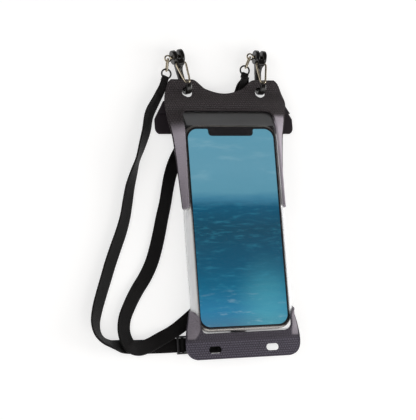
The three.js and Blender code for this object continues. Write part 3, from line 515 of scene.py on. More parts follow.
def opened(at, y, quads, centre, length, width, reach_rows, reach_columns, fade=5, spacing=0.7):
    """Opens a hole with round ends in a trim's grid.

    The block of cells at its middle goes, and the loops of points round it move onto the hole's edge and
    to lines that run round it, less and less outwards.
    """
    x = skin(at, y, np.zeros_like(y))[..., 0]
    rows, columns = at.shape
    i0, j0 = np.unravel_index(np.argmin((x - centre[0]) ** 2 + (y - centre[1]) ** 2), at.shape)
    i, j = np.meshgrid(np.arange(rows), np.arange(columns), indexing="ij")
    loop = np.maximum(np.abs(i - i0) - reach_rows, np.abs(j - j0) - reach_columns)
    near = (loop >= 0) & (loop <= fade)
    half = (length - width) / 2
    spine = np.clip(x - centre[0], -half, half) + centre[0]
    away = np.stack([x - spine, y - centre[1]], -1)
    natural = np.linalg.norm(away, axis=-1) - width / 2
    keep = eased(loop / fade)
    wanted = natural * keep + loop * spacing * (1 - keep) + width / 2
    moved = unit(away) * wanted[..., None]
    x = np.where(near, spine + moved[..., 0], x)
    y = np.where(near, centre[1] + moved[..., 1], y)
    at = np.where(near, along_section(x, y), at)
    inside = (np.abs(i - i0) <= reach_rows) & (np.abs(j - j0) <= reach_columns)
    gone = inside.ravel()[quads].all(1)
    return at, y, quads[~gone]


def trim(name, at, y, quads, bead, material, backing):
    """The embossed sheet over the skin, with a raised bead round the window and a thicker flange below."""
    column = np.linspace(0, at.shape[1], at.shape[1])[None, :] + np.zeros_like(at)
    lip = bead * np.exp(-((column - BEAD["column"]) / BEAD["wide"]) ** 2)
    upper = skin(at, y, GAP + TRIM_T + lip)
    lower = skin(at, y, np.full_like(y, GAP))
    if backing:
        lower[..., 2] -= BACKING["thick"] * eased((BACKING["top"] - y) / BACKING["ramp"])
    # The skin's steepness, kept as an attribute for the painted light on the trim's steep sides.
    painted_side_light = steepness(at, y)
    points, faces = thickened(upper, lower, quads)
    made = piece(name, points, faces, material, {"painted_side_light": np.tile(painted_side_light.ravel(), 2)})
    soft_edges(made, 0.28, 2, 50)
    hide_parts(name)
    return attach(made, "pouch")


def smoothed(line, passes=3):
    """Rounds an outline's corners by averaging each point with its neighbours."""
    for _ in range(passes):
        line = np.concatenate([line[:1], (line[:-2] + 2 * line[1:-1] + line[2:]) / 4, line[-1:]])
    return line


def side_line(low, high, count):
    """The body's side as points of an outline."""
    y = np.linspace(low, high, count)
    return np.stack([half_width(y) + GAP, y], 1)


def top_trim(material):
    """Ears, notch and legs. Rows run from the leg's round tip, up the leg and round the window's corner."""
    rows = TOP_ROWS
    tip_edge = half_width(LEG["tip"]) + GAP
    r = (tip_edge - LEG["inner"]) / 2
    tip = (tip_edge - r, LEG["tip"] + r)
    corner = WINDOW["r"]
    low = WINDOW["top"] - corner
    inner = np.concatenate([
        arc(tip, r, 270, 180, rows["tip"])[:-1],
        np.linspace([LEG["inner"], tip[1]], [WINDOW["half"], low], rows["leg"]),
        arc((WINDOW["half"] - corner, low), corner, 0, 90, rows["corner"])[1:],
        np.linspace([WINDOW["half"] - corner, WINDOW["top"]], [0, WINDOW["top"]], rows["middle"])[1:],
    ])
    ear = np.concatenate([
        side_line(low, EAR["foldY"], 12),
        np.array([[0.5, -2.4], [-0.6, -0.7], [-2.4, 0.0]]) + [EAR["outer"], EAR["top"]],
    ])
    sx, sy = EAR["shoulder"]
    notch = bezier([(sx, sy), (sx - 5, EAR["notchY"] + 1.6), (5, EAR["notchY"]), (0, EAR["notchY"])], 20)
    shoulder = np.array([[1.4, 0.0], [-0.6, -0.8]]) + [EAR["inner"], EAR["top"]]
    crest = np.concatenate([ear[-1:], shoulder, notch])
    outer = np.concatenate([
        arc(tip, r, 270, 360, rows["tip"])[:-1], side_line(tip[1], low, rows["leg"]),
        smoothed(evenly(ear, rows["corner"]))[1:], smoothed(evenly(crest, rows["middle"]), 4)[1:],
    ])
    at, y = trim_grid(inner, outer, 32)
    quads = grid_faces(*at.shape)
    for sign in (-1, 1):
        centre, across = (sign * EAR["hole"][0], EAR["hole"][1]), 2 * EAR["holeR"]
        at, y, quads = opened(at, y, quads, centre, across, across, *EAR["cells"])
    return trim("top_trim", at, y, quads, BEAD["top"], material, backing=False)


def bottom_trim(material):
    """Horns, flange and slots. Rows run from the horn's tip down the side and round the corner."""
    rows, r = BOTTOM_ROWS, WINDOW["r"]
    low = WINDOW["bottom"] + r
    tip_x = half_width(HORN["tip"]) + GAP
    horn = np.array([
        [tip_x - 0.5, HORN["tip"] + 0.3], [tip_x - 1.3, HORN["tip"] - 0.3], [34.6, -58.2],
        [HORN["inner"] + 0.2, HORN["shoulder"] - 0.6], [HORN["inner"], -64], [HORN["inner"], low],
    ])
    inner = np.concatenate([
        smoothed(evenly(horn, rows["horn"])), arc((HORN["inner"] - r, low), r, 0, -90, rows["corner"])[1:],
        np.linspace([HORN["inner"] - r, WINDOW["bottom"]], [0, WINDOW["bottom"]], rows["middle"])[1:],
    ])
    corner_y = BOTTOM_EDGE + 10
    edge_x = half_width(corner_y) + GAP
    corner = np.concatenate([
        side_line(low, corner_y, 12)[1:],
        np.array([[-0.3, 6.5], [-1.6, 3.6], [-3.8, 1.1], [-8.0, 0.0]]) + [edge_x, BOTTOM_EDGE],
    ])
    tip = [[tip_x - 0.3, HORN["tip"] + 0.3]]
    side = np.concatenate([tip, side_line(HORN["tip"] - 0.6, low, rows["horn"])[1:]])
    outer = np.concatenate([
        side, smoothed(evenly(np.concatenate([side[-1:], corner]), rows["corner"]))[1:],
        np.linspace([edge_x - 8, BOTTOM_EDGE], [0, BOTTOM_EDGE], rows["middle"])[1:],
    ])
    at, y = trim_grid(inner, outer, 34)
    quads = grid_faces(*at.shape)
    for sign in (-1, 1):
        centre, size = (sign * SLOT["x"], SLOT["y"]), (SLOT["length"], SLOT["width"])
        at, y, quads = opened(at, y, quads, centre, *size, *SLOT["cells"], spacing=0.5)
    return trim("bottom_trim", at, y, quads, BEAD["bottom"], material, backing=True)


# Films

# Rows along y and columns down the side, closer together where the film turns
FILM_RUNS = (
    [(-79, -64, 70), (-62, 64, 60), (65.5, 85, 90)],
    [(1, 2, 28), (2, 3, 9), (3, 4, 4)],
)
CREASE_HIGH = 0.06
WAVE_HIGH = 0.132


def front_film(material):
    """The clear front, drawn tight over the phone, with faint creases running in from its ends."""
    rows, side = (np.unique(np.concatenate([np.linspace(*run) for run in runs])) for runs in FILM_RUNS)
    columns = np.concatenate([-side[::-1], np.linspace(-1, 1, 40)[1:-1], side])
    at, y = np.meshgrid(columns, rows)
    upper = skin(at, y, np.zeros_like(y), beyond=0)
    x = upper[..., 0]
    ends = eased((np.abs(y) - 50) / 30) * (1 - eased((np.abs(x) - 30) / 5))
    middle = (1 - ends) * (1 - eased((np.abs(x) - 24) / 6))
    crease = CREASE_HIGH * np.sin(0.34 * x + 0.05 * y) * np.sin(0.13 * x + 1.3) * ends
    wave = WAVE_HIGH * np.sin(0.085 * y + 0.6) * np.sin(0.12 * x + 0.9) * middle
    lower = skin(at, y, np.full_like(y, -FILM_T), beyond=0)
    for layer in (upper, lower):
        layer[..., 2] += crease + wave
    milky = np.tile((steepness(at, y) * (1 - eased((y - 6) / 12))).ravel(), 2)
    points, quads = thickened(upper, lower, grid_faces(*at.shape))
    made = piece("front_film", points, quads, material, {"milky": milky}, crisp=ROUND_CRISP)
    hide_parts("front_film")
    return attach(made, "pouch")


def back_film(material):
    """The back: a level pillow that the pouch rests on, rising to the seam with the fourth power of x."""
    y = np.linspace(-79, 85, 110)[:, None]
    side = np.linspace(-1, 1, 61)[None, :]
    side = np.sign(side) * np.abs(side) ** PILLOW["spread"]
    edge = half_width(y)
    x = side * edge
    up = eased((y - PILLOW["high"]) / (PILLOW["ramp"] - PILLOW["high"]))
    down = eased((PILLOW["low"] - y) / (PILLOW["ramp"] + PILLOW["low"]))
    middle = PILLOW["shelf"] * np.maximum(up, down)
    end = np.maximum(eased((y - SHOULDER["y"] - 4) / 8), eased((-SHOULDER["y"] - 1 - y) / 6))
    middle = middle + (SEAM_Z - middle) * end
    reach = np.clip((np.abs(x) - PILLOW["half"]) / (edge - RIM - PILLOW["half"]), 0, 1)
    z = middle + (SEAM_Z - middle) * reach ** PILLOW["power"]
    lower = np.stack(np.broadcast_arrays(x, y, z), -1)
    upper = lower + [0, 0, FILM_T]
    made = piece("back_film", *thickened(upper, lower, grid_faces(*z.shape)), material, crisp=ROUND_CRISP)
    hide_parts("back_film")
    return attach(made, "pouch")


def mouth_flap(material):
    """The mouth's sheet: a hairpin section carried across, as far as the outline reaches at each y."""
    t, low = MOUTH["sheet"], MOUTH["bottom"]
    outer_r = (2 * t + MOUTH["inside"]) / 2
    centre = (MOUTH["foldY"] - outer_r, low + outer_r)

    def hairpin(depth):
        under, over = low + depth, low + 2 * outer_r - depth
        lower = np.linspace([MOUTH["low"] + 0.3 * depth, under], [centre[0], under], 30)
        upper = np.linspace([centre[0], over], [MOUTH["upperLow"], over], 12)
        return np.concatenate([lower[:-1], arc(centre, outer_r - depth, -90, 90, 14), upper[1:]])

    outer, inner = hairpin(0), hairpin(t)
    groove = 0.22 * np.exp(-((outer[:, 0] - MOUTH["shoulderY"]) / 0.5) ** 2)
    outer[:29, 1] += groove[:29]
    fold_x = half_width(EAR["foldY"])
    half, (cut_x, cut_y), shoulder = MOUTH["half"], MOUTH["chamfer"], MOUTH["shoulderY"]
    outline_y, outline_x = np.transpose([
        [MOUTH["low"] - 1, cut_x - 0.8], [MOUTH["low"], cut_x - 0.2], [MOUTH["low"] + 0.9, half - 1.3],
        [cut_y, half - 0.3], [cut_y + 1.5, half], [shoulder - 0.6, half], [shoulder + 0.8, half - 0.7],
        [EAR["foldY"] - 1.4, fold_x + 1], [MOUTH["foldY"] + 1, fold_x - 1],
    ])
    across = np.linspace(-1, 1, 81)[:, None]

    def layer(line):
        x = across * np.interp(line[:, 0], outline_y, outline_x)[None, :]
        y, z = (np.broadcast_to(line[:, k][None, :], x.shape) for k in (0, 1))
        return np.stack([x, y, z], -1)

    made = piece("mouth_flap", *thickened(layer(outer), layer(inner), grid_faces(81, len(outer))), material)
    soft_edges(made, 0.22, 2, 50)
    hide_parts("mouth_flap")
    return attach(made, "pouch")


# Clips

FIRST_VOXEL = 0.22
HOOK_VOXEL = 0.2
HOOK_PASSES = 7


def sideways(loop, xs):
    """A closed loop of (y, z) points carried along x."""
    loop = np.asarray(loop, float)
    return np.stack([np.concatenate([np.full((len(loop), 1), x), loop], 1) for x in xs])


def disc(centre, radius, hole, x0, x1, count=40):
    """A thick washer across x, as rings round its hole: a rounded rectangle turned about the axis."""
    middle, width = (x0 + x1) / 2, x1 - x0
    profile = rounded(radius - hole, width, 0.35, 4)
    angle = np.arange(count) * 2 * np.pi / count
    reach = (radius + hole) / 2 + profile[:, 0]
    return np.stack([
        np.broadcast_to(middle + profile[:, 1], (count, len(profile))),
        centre[0] + np.cos(angle)[:, None] * reach,
        centre[1] + np.sin(angle)[:, None] * reach,
    ], -1)


def hook_body(side, material):
    """The cast hook: a J-shaped bar, its head with the wire's hole, and the fork's two lobes, fused."""
    h, bar, bend_bar, low = HOOK, HOOK["bar"], HOOK["bend_bar"], HOOK["head_low"]
    straight = np.linspace([low + 4, bar / 2], [h["bend"][0] + 3, bar / 2], 14)
    bend = arc(h["bend"], h["bend_r"], -90, h["nose"] - 360, 56)
    line = np.concatenate([straight, bend])
    thick = np.concatenate([np.full(14, bar), np.linspace(bar, bend_bar, 8), np.full(48, bend_bar)])
    wide = np.concatenate([np.full(50, h["wide"]), np.linspace(h["wide"], h["wide"] * h["narrowing"], 20)])
    along = unit(np.gradient(line, axis=0))
    centres = np.concatenate([np.zeros((len(line), 1)), line], 1)
    across = np.tile([[1.0, 0, 0]], (len(line), 1))
    deep = np.stack([np.zeros(len(line)), -along[:, 1], along[:, 0]], 1)
    section = rounded(1, 1, 0.28, 5)[None] * np.stack([wide, thick], 1)[:, None, :]
    shank = capped(swept(centres, across, deep, section))
    py, pz = h["pivot"]
    slot_low = h["fork"][0] - PIN["r"] - 1.6
    head = np.array([
        [slot_low, 0.2], [low - 3.5, 0.2], [low - 3.4, bar * 0.6], [low - 1.4, bar + 0.1],
        [low + 0.3, bar + 1.3], [low + 0.9, bar + 3.2], [low + 1.3, pz + 0.4], [py - 0.7, pz + 1.5],
        [py + 0.9, pz + 1.6], [slot_low, pz + 1.4],
    ])
    loop = smoothed(evenly(np.concatenate([head, head[:1]]), 60), 1)[:-1]
    block = capped(sideways(loop, np.linspace(-h["wide"] / 2, h["wide"] / 2, 5)))
    near, far = h["fork_gap"] / 2, h["fork_wide"] / 2
    lobes = [disc(h["fork"], h["fork_r"], PIN["r"] + GAP, *span) for span in ((-far, -near), (near, far))]
    points, quads = merged(solid(shank), solid(block), *(solid(lobe, closed=True) for lobe in lobes))
    made = piece(f"{side}_hook_body", turned(points, side), quads, material)
    drill = tube([[-6.0, py, pz], [6.0, py, pz]], h["wire_hole"], 24)
    cutter = piece("drill", turned(drill, side), solid(drill)[1], material)
    remeshed(made, FIRST_VOXEL)
    modified(made, "BOOLEAN", operation="DIFFERENCE", object=cutter, solver="EXACT")
    bpy.data.objects.remove(cutter)
    fused(made, HOOK_VOXEL, HOOK_PASSES)
    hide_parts(f"{side}_hook_body")
    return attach(made, "pouch")


def wire_gate(side, material):
    """The bright wire: one loop from hole to hole, its two legs drawing together at the nose."""
    w, (py, pz) = WIRE, HOOK["pivot"]
    ty, tz = w["tip"]
    half = [
        [w["end"], py, pz], [w["leg"] - 0.7, py, pz], [w["leg"], py - 0.75, pz + 0.16],
        [(w["leg"] + w["nose"]) / 2 + 0.2, (py + ty) / 2, (pz + tz) / 2], [w["nose"], ty + 1.2, tz - 0.2],
        [w["nose"] - 0.7, ty, tz],
    ]
    line = spline(half + [[-x, y, z] for x, y, z in reversed(half)], 12)
    rings = turned(tube(evenly(line, 130), w["r"], 18), side)
    made = piece(f"{side}_wire_gate", *solid(rings), material, crisp=ROUND_CRISP)
    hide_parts(f"{side}_wire_gate")
    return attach(made, f"{side}_gate")


def eye_pin(side, material):
    """A turned pin through the fork with a domed head, and the eye on its other end."""
    p, (fy, fz) = PIN, HOOK["fork"]
    right = HOOK["fork_wide"] / 2 + GAP
    start, head, wire = p["eye_x"] + p["eye_hole"] + 0.5, p["head_r"], (p["eye_r"] - p["eye_hole"]) / 2
    profile = evenly([
        [start, 0], [start, p["r"] * 0.9], [-HOOK["fork_wide"] / 2, p["r"]], [right, p["r"]],
        [right, head - 0.15], [right + 0.15, head], [right + p["head_t"] * 0.5, head * 0.96],
        [right + p["head_t"] * 0.9, head * 0.6], [right + p["head_t"], 0],
    ], 70)
    angle = np.arange(28) * 2 * np.pi / 28
    pin = np.stack([
        np.broadcast_to(profile[:, :1], (70, 28)),
        fy + profile[:, 1:] * np.cos(angle), fz + profile[:, 1:] * np.sin(angle),
    ], -1)
    eye_line = arc((p["eye_x"], fy), p["eye_hole"] + wire, 0, 354, 60)
    eye = tube(np.column_stack([eye_line, np.full(60, fz)]), wire, 18, closed=True)
    points, quads = merged(solid(pin), solid(eye, closed=True))
    made = piece(f"{side}_eye_pin", turned(points, side), quads, material, crisp=ROUND_CRISP)
    fused(made, 0.11, 3)
    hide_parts(f"{side}_eye_pin")
    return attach(made, "pouch")


def from_eye(points):
    """Turns points that leave the eye along +Y to the link's way down: tilted about X, turned about Z."""
    x, y, z = np.moveaxis(np.asarray(points, float), -1, 0)
    a, b = radians(-LINK["tilt"]), radians(180 - LINK["turn"])
    y, z = y * np.cos(a) - z * np.sin(a), y * np.sin(a) + z * np.cos(a)
    x, y = x * np.cos(b) - y * np.sin(b), x * np.sin(b) + y * np.cos(b)
    return np.stack([x + PIN["eye_x"], y + HOOK["fork"][0], z + HOOK["fork"][1]], -1)


def oval_link(side, material):
    """A round wire bent into an oval, standing on edge through the eye."""
    wide, far = LINK["half_wide"], 2 * LINK["half_length"] - LINK["half_wide"]
    loop = np.concatenate([arc((far, 0), wide, -90, 90, 25), arc((wide, 0), wide, 90, 270, 25)])
    loop = evenly(np.concatenate([loop, loop[:1]]), 81)[:-1]
    line = np.column_stack([np.zeros(80), loop])
    rings = turned(from_eye(tube(line, LINK["wire"] / 2, 16, reference=(1, 0, 0), closed=True)), side)
    made = piece(f"{side}_oval_link", *solid(rings, closed=True), material, crisp=ROUND_CRISP)
    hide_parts(f"{side}_oval_link")
    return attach(made, "pouch")


def ring_centre():
    """The ring's middle in the clip's frame: a link's reach from the eye and its own radius further."""
    reach = 2 * LINK["half_length"] - LINK["wire"] / 2 - RING["wire"] - GAP
    out = reach * np.cos(radians(LINK["tilt"])) + RING["r"]
    turn = radians(270 - LINK["turn"])
    z = HOOK["fork"][1] - reach * np.sin(radians(LINK["tilt"]))
    return np.array([PIN["eye_x"] + out * np.cos(turn), HOOK["fork"][0] + out * np.sin(turn), z])


def ring(side, material):
    """The thin black ring that the webbing is sewn on."""
    centre = ring_centre()
    line = np.column_stack([arc(centre, RING["r"], 0, 355, 72), np.full(72, centre[2])])
    rings = turned(tube(line, RING["wire"], 18, closed=True), side)
    made = piece(f"{side}_ring", *solid(rings, closed=True), material, crisp=ROUND_CRISP)
    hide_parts(f"{side}_ring")
    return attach(made, "pouch")


# Lanyard


def strap_section(width, thick):
    """A flat strap's section: a long box with round edges."""
    return rounded(width, thick, thick / 2 - 0.02, 5, 12)


def woven(name, rings, along, across, material):
    """A swept strap that keeps the lengths along and across it, for the weave of its finish."""
    weave = np.zeros((*rings.shape[:2], 3))
    weave[..., 0] = along[:, None]
    weave[..., 1] = across[None, :]
    return piece(name, *solid(rings), material, {"weave": weave.reshape(-1, 3)}, crisp=ROUND_CRISP)


def route():
    """The lanyard's centres and rolls, ring to ring, a step apart."""
    points = np.array(ROUTE_LEFT + ROUTE_SLIDER + ROUTE_RIGHT, float)
    roll = np.radians(points[:, 2])
    tall = STRAP["width"] / 2 * np.abs(np.sin(roll)) + STRAP["thick"] / 2 * np.cos(roll)
    line = spline(np.column_stack([points[:, :2], tall + points[:, 3], roll]))
    length = np.linalg.norm(np.diff(line[:, :3], axis=0), axis=1).sum()
    return evenly(line, int(length / STRAP["step"])), length


def lanyard(material):
    """The webbing: its section carried along the route, across the route and turned by the roll."""
    line, length = route()
    centres, roll = line[:, :3], line[:, 3:]
    along = unit(np.gradient(centres, axis=0))
    across = unit(np.cross([0.0, 0, 1], along))
    up = np.array([[0.0, 0, 1]])
    wide = across * np.cos(roll) + up * np.sin(roll)
    deep = -across * np.sin(roll) + up * np.cos(roll)
    run = np.linspace(0, length, len(line))
    gather = np.minimum(eased(run / STRAP["gather"][0]), eased((length - run) / STRAP["gather"][1]))
    width = STRAP["gathered"] + (STRAP["width"] - STRAP["gathered"]) * gather
    base = strap_section(STRAP["width"], STRAP["thick"])
    scale = np.stack([width / STRAP["width"], 1 + STRAP["bunched"] * (1 - gather)], 1)
    rings = capped(swept(centres, wide, deep, base[None] * scale[:, None, :]))
    rings[..., 2] = np.maximum(rings[..., 2], 0)
    made = woven("lanyard", rings, np.r_[0, run, length], base[:, 0], material)
    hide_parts("strap_left", "strap_right")
    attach(made, "pouch")
    return made, line


def end_loop(side, line, material):
    """The gathered end of the webbing, taken round the ring's wire and sewn back on itself."""
    centre = turned(ring_centre(), side)
    line = line[:, :3] if side == "left" else line[::-1, :3]
    back = line[LOOP["sewn_at"]]
    away = unit((back - line[0]) * [1, 1, 0])
    wire = centre + RING["r"] * unit((line[LOOP["aims_at"]] - centre) * [1, 1, 0])
    up = np.array([0.0, 0, 1])
    r = RING["wire"] + LOOP["off_wire"]
    top = wire + LOOP["top"] * away + 0.85 * r * up
    wrap = np.radians([70, 110, 150, 190, 230, 265])[:, None]
    profile = np.concatenate([
        [back + 1.25 * up, (back + top) / 2 + 0.5 * up, top],
        wire + r * (away * np.cos(wrap) + up * np.sin(wrap)),
        [wire + LOOP["tail"] * away - 0.9 * r * up],
    ])
    path = evenly(spline(profile, 8), 70)
    wide = np.tile(np.cross(up, away), (len(path), 1))
    deep = unit(np.cross(np.gradient(path, axis=0), wide))
    base = strap_section(LOOP["wide"], LOOP["thick"])
    rings = capped(swept(path, wide, deep, base))
    made = woven(f"{side}_end_loop", rings, np.linspace(0, LOOP["long"], len(rings)), base[:, 0], material)
    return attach(made, "pouch")


def slider(material):
    """A moulded slider: two end rails, two high outer bars and a low one that the webbing rides over."""
    s = SLIDER
    rail = (s["across"] - s["slot_across"]) / 2
    outer = (s["along"] - s["bar"] - 2 * s["slot_along"]) / 2
    parts = []

    def box(x, y, wx, wy, low, high, radius):
        loop, size, bevel = rounded(wx, wy, radius, 5), np.array([wx, wy]), 0.25
        levels = [(low, bevel), (low + bevel, 0), (high - bevel, 0), (high, bevel)]
        rings = [np.column_stack([loop * (1 - 2 * inset / size) + [x, y], np.full(len(loop), z)])
                 for z, inset in levels]
        parts.append(solid(capped(np.array(rings))))

    x, y, between = s["x"], s["y"], s["across"] - rail
    for sign in (-1, 1):
        box(x, y + sign * between / 2, s["along"], rail, 0, s["high"], rail / 2 - 0.02)
        box(x + sign * (s["along"] - outer) / 2, y, outer, between, s["under"], s["high"], 0.5)
    box(x, y, s["bar"], between, 0, s["over"], 0.5)
    made = piece("strap_slider", *merged(*parts), material)
    fused(made, 0.16, 4)
    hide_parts("strap_slider")
    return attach(made, "pouch")


# Shader tools


class Shader:
    """A material's or group's tree, with add() for its nodes and join() for the links."""

    def __init__(self, tree):
        self.tree = tree

    def add(self, kind, sockets=None, **settings):
        made = self.tree.nodes.new("ShaderNode" + kind)
        for key, value in settings.items():
            setattr(made, key, value)
        for key, value in (sockets or {}).items():
            self.put(made.inputs[key], value)
        return made

    def put(self, socket, value):
        """Links a socket to the input, or sets a plain value on it."""
        if isinstance(value, bpy.types.NodeSocket):
            self.tree.links.new(value, socket)
        elif hasattr(value, "__len__") and len(value) == 3 and socket.type == "RGBA":
            socket.default_value = (*value, 1)
        else:
            socket.default_value = value

    def math(self, operation, *values, clamp=False):
        return self.add("Math", dict(enumerate(values)), operation=operation, use_clamp=clamp).outputs[0]

    def vector(self, operation, *values):
        made = self.add("VectorMath", dict(enumerate(values)), operation=operation)
        return made.outputs["Value" if operation in ("LENGTH", "DOT_PRODUCT") else "Vector"]

    def between(self, share, low, high):
        """A colour that runs from low to high with the share."""
        return self.add("Mix", {0: share, 6: low, 7: high}, data_type="RGBA").outputs[2]

    def ranged(self, value, from_low, from_high, to_low, to_high, smooth=True):
        """The value taken from one range to another, kept inside it and eased at both ends."""
        kind = "SMOOTHSTEP" if smooth else "LINEAR"
        sockets = {0: value, 1: from_low, 2: from_high, 3: to_low, 4: to_high}
        return self.add("MapRange", sockets, interpolation_type=kind).outputs[0]

    def noise(self, scale, detail, roughness, vector):
        sockets = {"Scale": scale, "Detail": detail, "Roughness": roughness, "Vector": vector}
        return self.add("TexNoise", sockets).outputs[0]

    def place(self):
        return self.add("TexCoord").outputs["Object"]


def finish_of(name, sockets):
    """A new material, its tree and its Principled shader with plain values set on its own sockets."""
    material = bpy.data.materials.new(name)
    material.use_nodes = True
    s = Shader(material.node_tree)
    surface = material.node_tree.nodes["Principled BSDF"]
    for key, value in sockets.items():
        s.put(surface.inputs[key], value)
    return material, s, surface


BUMP_METRES = 0.0002


def grain_group():
    """Fine grain and slow mottling: two noises, the fine one as a normal, the slow one as a mask."""
    tree = bpy.data.node_groups.new("fine_grain", "ShaderNodeTree")
    for key, value in (("Grain per metre", 2500.0), ("Patches per metre", 60.0), ("Depth", 0.3)):
        made = tree.interface.new_socket(key, in_out="INPUT", socket_type="NodeSocketFloat")
        made.default_value = value
    tree.interface.new_socket("Height", in_out="INPUT", socket_type="NodeSocketFloat")
    tree.interface.new_socket("Patches", in_out="OUTPUT", socket_type="NodeSocketFloat")
    tree.interface.new_socket("Grain", in_out="OUTPUT", socket_type="NodeSocketFloat")
    tree.interface.new_socket("Normal", in_out="OUTPUT", socket_type="NodeSocketVector")
    s = Shader(tree)
    given = tree.nodes.new("NodeGroupInput").outputs
    spot = s.place()
    fine = s.noise(given["Grain per metre"], 3.0, 0.6, spot)
    patches = s.noise(given["Patches per metre"], 3.0, 0.55, spot)
    height = s.math("ADD", s.math("MULTIPLY", fine, given["Depth"]), given["Height"])
    bump = s.add("Bump", {"Strength": 1.0, "Distance": BUMP_METRES, "Height": height})
    out = tree.nodes.new("NodeGroupOutput")
    s.put(out.inputs["Patches"], patches)
    s.put(out.inputs["Grain"], fine)
    s.put(out.inputs["Normal"], bump.outputs[0])
    return tree


GRAIN = grain_group()


def grain(s, per_metre, patches, depth, height=0.0):
    """The fine grain group with a material's own values."""
    sockets = {"Grain per metre": per_metre, "Patches per metre": patches, "Depth": depth, "Height": height}
    made = s.tree.nodes.new("ShaderNodeGroup")
    made.node_tree = GRAIN
    for key, value in sockets.items():
        s.put(made.inputs[key], value)
    return made.outputs


# Finishes


def mottled(name, sockets, grains, colours, rough, rough_by="Patches"):
    """A finish whose colour follows the slow patches, and its roughness the patches or the fine grain."""
    material, s, surface = finish_of(name, sockets)
    found = grain(s, *grains)
    s.put(surface.inputs["Base Color"], s.between(found["Patches"], *colours))
    s.put(surface.inputs["Roughness"], s.ranged(found[rough_by], 0.3, 0.7, *rough))
    s.put(surface.inputs["Normal"], found["Normal"])
    return material


HEX_PITCH = 1.8


def trim_finish():
    """Soft charcoal sheet embossed with small hexagons, with painted shade in their grooves, a darker top
    trim as painted shade, a painted shadow band below the window and painted light on the steep sides.

    The hexagons' middles are two shifted rectangular lattices. Each point takes the nearer middle, and its
    height falls with the larger of its distances from it along X and along the slant.
    """
    material, s, surface = finish_of("trim_sheet", {"Roughness": 0.55, "Specular IOR Level": 0.25})
    slant = (np.cos(radians(60)), np.sin(radians(60)), 0.0)
    half = (*slant[:2], 10.0)
    spot = s.vector("SCALE", s.place())
    spot.node.inputs["Scale"].default_value = 1 / (HEX_PITCH * MM)
    low = tuple(-value for value in half)
    one = s.vector("WRAP", spot, half, low)
    two = s.vector("WRAP", s.vector("ADD", spot, slant), half, low)

    def from_middle(cell):
        size = s.vector("ABSOLUTE", s.vector("MULTIPLY", cell, (1.0, 1.0, 0.0)))
        slanted = s.vector("DOT_PRODUCT", size, slant)
        upright = s.vector("DOT_PRODUCT", size, (1.0, 0.0, 0.0))
        return s.math("MAXIMUM", slanted, upright)

    cell = s.math("MINIMUM", from_middle(one), from_middle(two))
    groove = s.ranged(cell, 0.28, 0.46, 1.0, 0.0)
    parts = s.add("SeparateXYZ", {0: s.place()}).outputs
    top = s.ranged(parts["Y"], -0.03, 0.06, 0.0, 1.0)
    start = s.math("MULTIPLY_ADD", s.math("SIGN", parts["X"]), 0.008, 0.064)
    faded = s.ranged(parts["Y"], start, s.math("SUBTRACT", start, 0.012), 0.0, 1.0)
    # Painted light on the steep sides, faded out towards the top at a height that differs left and right.
    steep_side = s.add("Attribute", attribute_name="painted_side_light").outputs["Fac"]
    painted_side_light = s.math("MULTIPLY", s.ranged(steep_side, 0.0, 0.55, 0.0, 1.0), faded)
    level = s.ranged(painted_side_light, 0.0, 0.5, 1.0, 0.4)
    height = s.math("MULTIPLY", groove, level)
    found = grain(s, 3200.0, 45.0, 0.25, s.math("MULTIPLY", height, 2.0))
    # The hexagons' tops are lighter and their grooves darker: painted shade in the grooves.
    lower = s.between(height, (0.042, 0.036, 0.050), (0.098, 0.086, 0.116))
    upper = s.between(height, (0.026, 0.021, 0.023), (0.054, 0.045, 0.048))
    # Painted shadow: a dark band along the bottom trim just below the window.
    painted_window_shadow = s.ranged(parts["Y"], -0.0968, -0.0948, 0.0, 0.6)
    lower = s.between(painted_window_shadow, lower, (0.018, 0.014, 0.020))
    # The top trim's colours are darker than the bottom trim's: painted shade, the two being lit and shaded
    # copies of one sheet.
    dark = s.between(top, lower, upper)
    # Painted light colours for the sides: the top trim's legs lightest, the bottom trim's horns dimmer.
    light = s.between(found["Patches"], (0.310, 0.274, 0.315), (0.430, 0.384, 0.435))
    horn = s.between(found["Patches"], (0.150, 0.131, 0.152), (0.220, 0.196, 0.225))
    shown = s.between(top, horn, light)
    s.put(surface.inputs["Base Color"], s.between(painted_side_light, dark, shown))
    s.put(surface.inputs["Roughness"], s.ranged(found["Grain"], 0.3, 0.7, 0.48, 0.66))
    s.put(surface.inputs["Normal"], found["Normal"])
    return material


def film_finish():
    """Clear film: it mirrors by its Fresnel share, is milky down its sides and see-through elsewhere."""
    material, s, surface = finish_of("clear_film", {"Base Color": (0.97, 0.975, 0.985), "Roughness": 0.3})
    milky = s.add("Attribute", attribute_name="milky").outputs["Fac"]
    haze = s.ranged(s.noise(24.0, 2.0, 0.5, s.place()), 0.35, 0.7, 0.005, 0.02)
    mirrored = s.math("MULTIPLY_ADD", s.add("Fresnel", {"IOR": 1.45}).outputs[0], 0.5, haze)
    s.put(surface.inputs["Alpha"], s.math("MULTIPLY_ADD", milky, 0.5, mirrored))
    s.put(surface.inputs["Metallic"], s.ranged(milky, 0.0, 0.4, 1.0, 0.0))
    return material


def mouth_finish():
    """Near-black sheet with a fine cloth-like grain."""
    return mottled(
        "mouth_sheet", {"Roughness": 0.6, "Specular IOR Level": 0.2}, (2600.0, 40.0, 0.08),
        [(0.012, 0.008, 0.011), (0.030, 0.023, 0.028)], (0.5, 0.7), "Grain",
    )


def coated_finish():
    """Glossy black coating on cast metal, a little uneven."""
    coat = {"Roughness": 0.22, "Coat Weight": 0.15, "Coat Roughness": 0.08, "Specular IOR Level": 0.3}
    return mottled(
        "clip_black", coat, (1500.0, 150.0, 0.06),
        [(0.003, 0.0025, 0.0025), (0.009, 0.008, 0.007)], (0.16, 0.3),
    )


def bright_finish():
    """Bright plated wire with faint drawing marks."""
    return mottled(
        "bright_metal", {"Metallic": 1.0, "Roughness": 0.2}, (2200.0, 300.0, 0.05),
        [(0.30, 0.26, 0.19), (0.50, 0.44, 0.34)], (0.14, 0.28),
    )


YARN_WIDE = 0.62
RIB_LONG = 1.1


